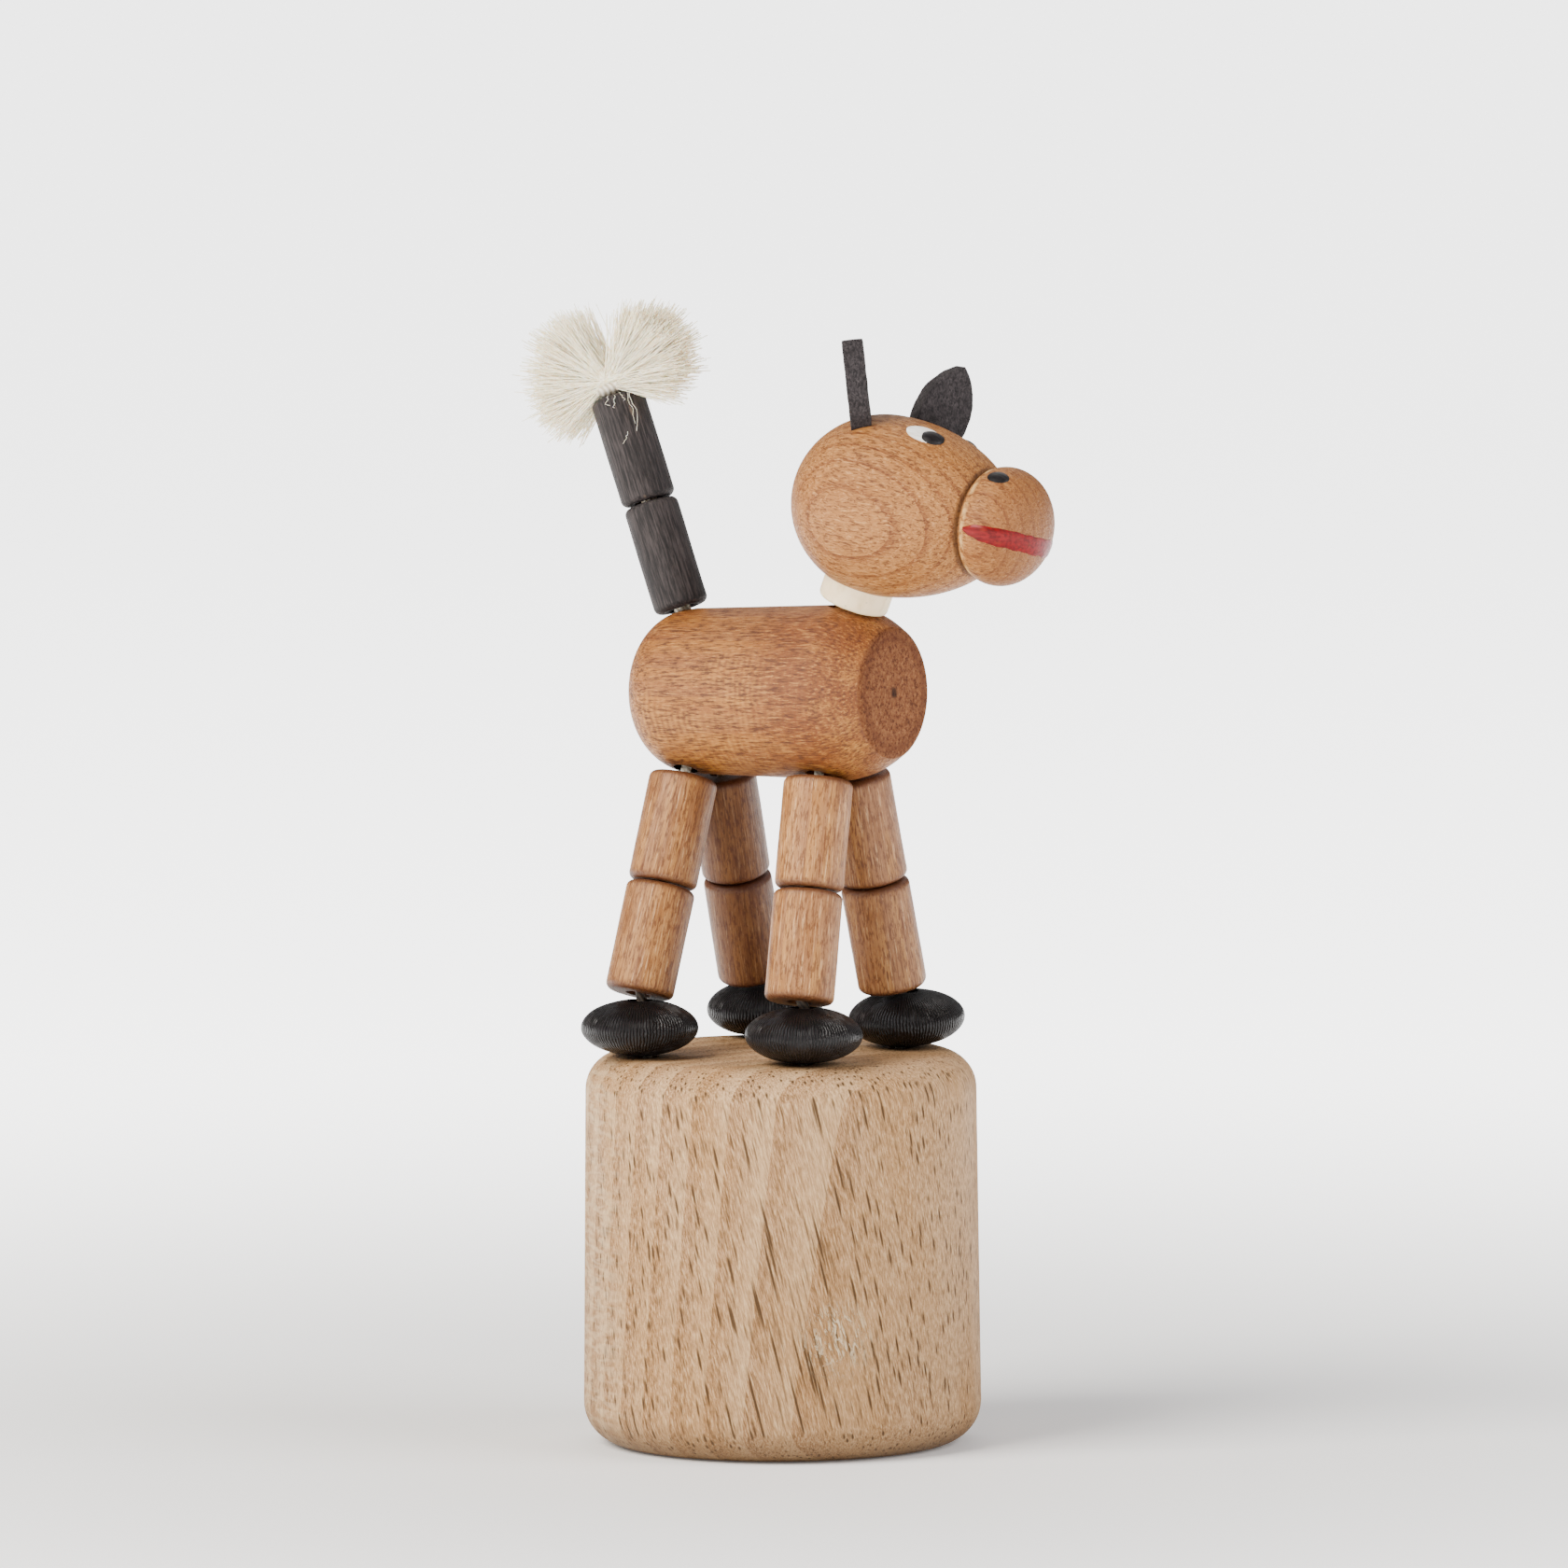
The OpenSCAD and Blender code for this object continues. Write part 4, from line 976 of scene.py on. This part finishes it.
def fibre(start, way, length, curl, width):
    """One yarn fibre as a route of points with widths."""
    phase = [rng.uniform(0, math.tau) for _ in range(2)]
    bend = Vector((rng.uniform(-1, 1), rng.uniform(-0.8, 0.8), rng.uniform(-1, 0.8))) * 0.08
    side = way.cross(Y).normalized()
    route = []
    for i in range(FIBRE_STEPS + 1):
        t = i / FIBRE_STEPS
        place = start + way * length * t + bend * length * t * t
        place += side * curl * t * math.sin(phase[0] + 5.5 * t) + Y * curl * t * math.sin(phase[1] + 4.5 * t)
        route.append((*place, width * (1 - 0.3 * t)))
    return route


def fan_way(angle, out):
    """Direction in the tuft's plane, angle in degrees from the horse's front, out towards its left."""
    a = math.radians(angle)
    return Vector((math.cos(a), out, math.sin(a))).normalized()


def bead_thread(turn, drop, length):
    """Loose thread that lies on the upper tail bead, by its turn and its drop from the bead's end."""
    across = tail_dir.cross(Y)
    route, a, low = [], math.radians(turn), drop
    for i in range(LOOSE_STEPS + 1):
        out = (across * math.cos(a) + Y * math.sin(a)) * (TAIL_R + 0.1)
        route.append((*(tie_at - tail_dir * (TUFT_LIFT + low) + out), LOOSE_WIDTH))
        a += rng.uniform(-0.09, 0.09)
        low += length / LOOSE_STEPS * rng.uniform(0.6, 1.3)
    return route


fibres = []
for middle, spread, fan_reach in FANS:
    for lock in range(LOCKS):
        aside = rng.uniform(-1, 1)
        out = rng.uniform(-0.26, 0.26)
        reach = fan_reach * rng.uniform(0.88, 1.0) * (1 - 0.14 * aside ** 2)
        for strand in range(STRANDS):
            way = fan_way(middle + spread * aside + rng.gauss(0, 2.6), out + rng.gauss(0, 0.04))
            start = tie_at + Vector((rng.uniform(-0.5, 0.5), rng.uniform(-1.1, 1.1), rng.uniform(-0.4, 0.5)))
            fibres.append(fibre(start, way, reach * rng.uniform(0.9, 1.0), 0.16, rng.uniform(0.6, 1.1)))
for stray in range(3):
    fibres.append(fibre(tie_at, fan_way(100 + 7 * stray, 0.05), 7.0 - 1.5 * stray, 0.5, 0.8))
fibres += [bead_thread(*thread) for thread in LOOSE]
tuft = tube("yarn_tuft", fibres, FIBRE_R, sides=4)
yarn, space = new_material("cream_yarn", origin=tie_at)
strand_tone = noise(space, 0.35, 0.35, 3)  # fibres differ every third of a mm
tone = mix(ease(strand_tone, 0.35, 0.7), "#FFF6E0", "#F2DFB6")
surface(tone, 0.8, **{"Sheen Weight": 0.4, "Subsurface Weight": 0.2, "Subsurface Scale": 0.0006})
settle(tuft, yarn, "tail_upper", "tail_tuft")

tie = turned("tie_knot", arc((0, 0), TIE_R, TIE_L / 2, -90, 90, 12), steps=32)
put(tie, stood(centre_of("tuft_tie"), tail_dir))
uneven(tie, 0.7, 0.12)
settle(tie, cord_cotton, "tail_upper", "tuft_tie")


# Cords: four waxed cotton cords. Each goes from its knot under the button up through base, foot, shin,
# thigh and body; the front pair ends in the head, the rear pair holds the tail and its tuft.
CORD_R = CORD_D / 2
PAIR_SIDE = CORD_R + 0.06  # two cords lie side by side in neck and tail
LOW_SHARE, STEP_SHARE = 0.84, 0.91  # the stepped way through the web
IN_SHIN, IN_THIGH, IN_TAIL, HIP_STUB = 4, 5, 5, 2.4  # lengths of cord meet so deep in a bead
cord_dark = cord_material("cord_dark", "#5C4F42", "#2E261F")  # darker cord for the lengths between the feet and the shins


def fine(points, step=0.5):
    """Route with extra points, so that a bent cord stays round."""
    route = [points[0]]
    for a, b in zip(points, points[1:]):
        count = max(1, int((b - a).length / step))
        route += [a.lerp(b, i / count) for i in range(1, count + 1)]
    return route


def cord_piece(leg, part, points, cotton=cord_cotton):
    """One length of a leg's cord."""
    piece = tube("cord_" + part + "_" + leg, [fine(points)], CORD_R)
    dress(piece, cotton)
    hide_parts("cord_" + leg)
    return piece


def cord_bend(leg, part, points, cotton=cord_cotton):
    """Length of cord between two bodies; its place is baked into the mesh and it rides on neither."""
    piece = cord_piece(leg, part, points, cotton)
    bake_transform(piece)


for leg in LEGS:
    sign = 1 if leg.endswith("left") else -1
    foot, up, top = centre_of("foot_" + leg), leg_up[leg], thigh_top[leg]
    knot, web_low = cord_hole(leg, BUTTON_SHARE, POCKET_TOP), cord_hole(leg, LOW_SHARE, WEB_Z)
    under = cord_piece(leg, "under", [knot, cord_hole(leg, BUTTON_SHARE, BUTTON_TOP + 0.3), web_low])
    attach(under, "base")
    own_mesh(under)
    in_web = [web_low, cord_hole(leg, STEP_SHARE, WEB_Z + WEB_T / 2), cord_hole(leg, HOLE_SHARE, BASE_H)]
    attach(cord_piece(leg, "web", in_web), "base")

    shin_low, knee = top - up * (2 * BEAD_L + BEAD_GAP), top - up * (BEAD_L + BEAD_GAP / 2)
    in_foot = foot - Y * sign * 0.5 + Z * FOOT_HALF
    # the length from the foot into the shin is in the darker cord
    cord_bend(leg, "ankle", [foot - Z * 2, in_foot - Z * 0.6, shin_low + up * 0.5, shin_low + up * IN_SHIN],
              cord_dark)
    cord_bend(leg, "knee", [shin_low + up * IN_SHIN, knee, top - up * IN_THIGH])
    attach(cord_piece(leg, "thigh", [top - up * IN_THIGH, top - up * 0.6]), "thigh_" + leg)

    front, beside = leg.startswith("front"), Y * sign * PAIR_SIDE
    last = (collar_low if front else tail_foot) + beside
    in_body = [top - up * HIP_STUB, top + up * 3, meet[leg] + beside + Z * 0.4, last]
    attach(cord_piece(leg, "body", in_body), "torso")
    if front:
        cord_bend(leg, "neck", [last - neck_dir * 0.6, last, last + neck_dir * (COLLAR_H - 0.15)])
        in_head = [last + neck_dir * (COLLAR_H + h) for h in (0.15, 5.6)]
        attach(cord_piece(leg, "head", in_head), "head")
    else:
        cord_bend(leg, "root", [last - tail_dir * 0.6, last, last + tail_dir * IN_TAIL])
        middle = last + tail_dir * (BEAD_L + BEAD_GAP / 2)
        cord_bend(leg, "tail", [last + tail_dir * IN_TAIL, middle, last + tail_dir * (2 * BEAD_L + 0.18)])
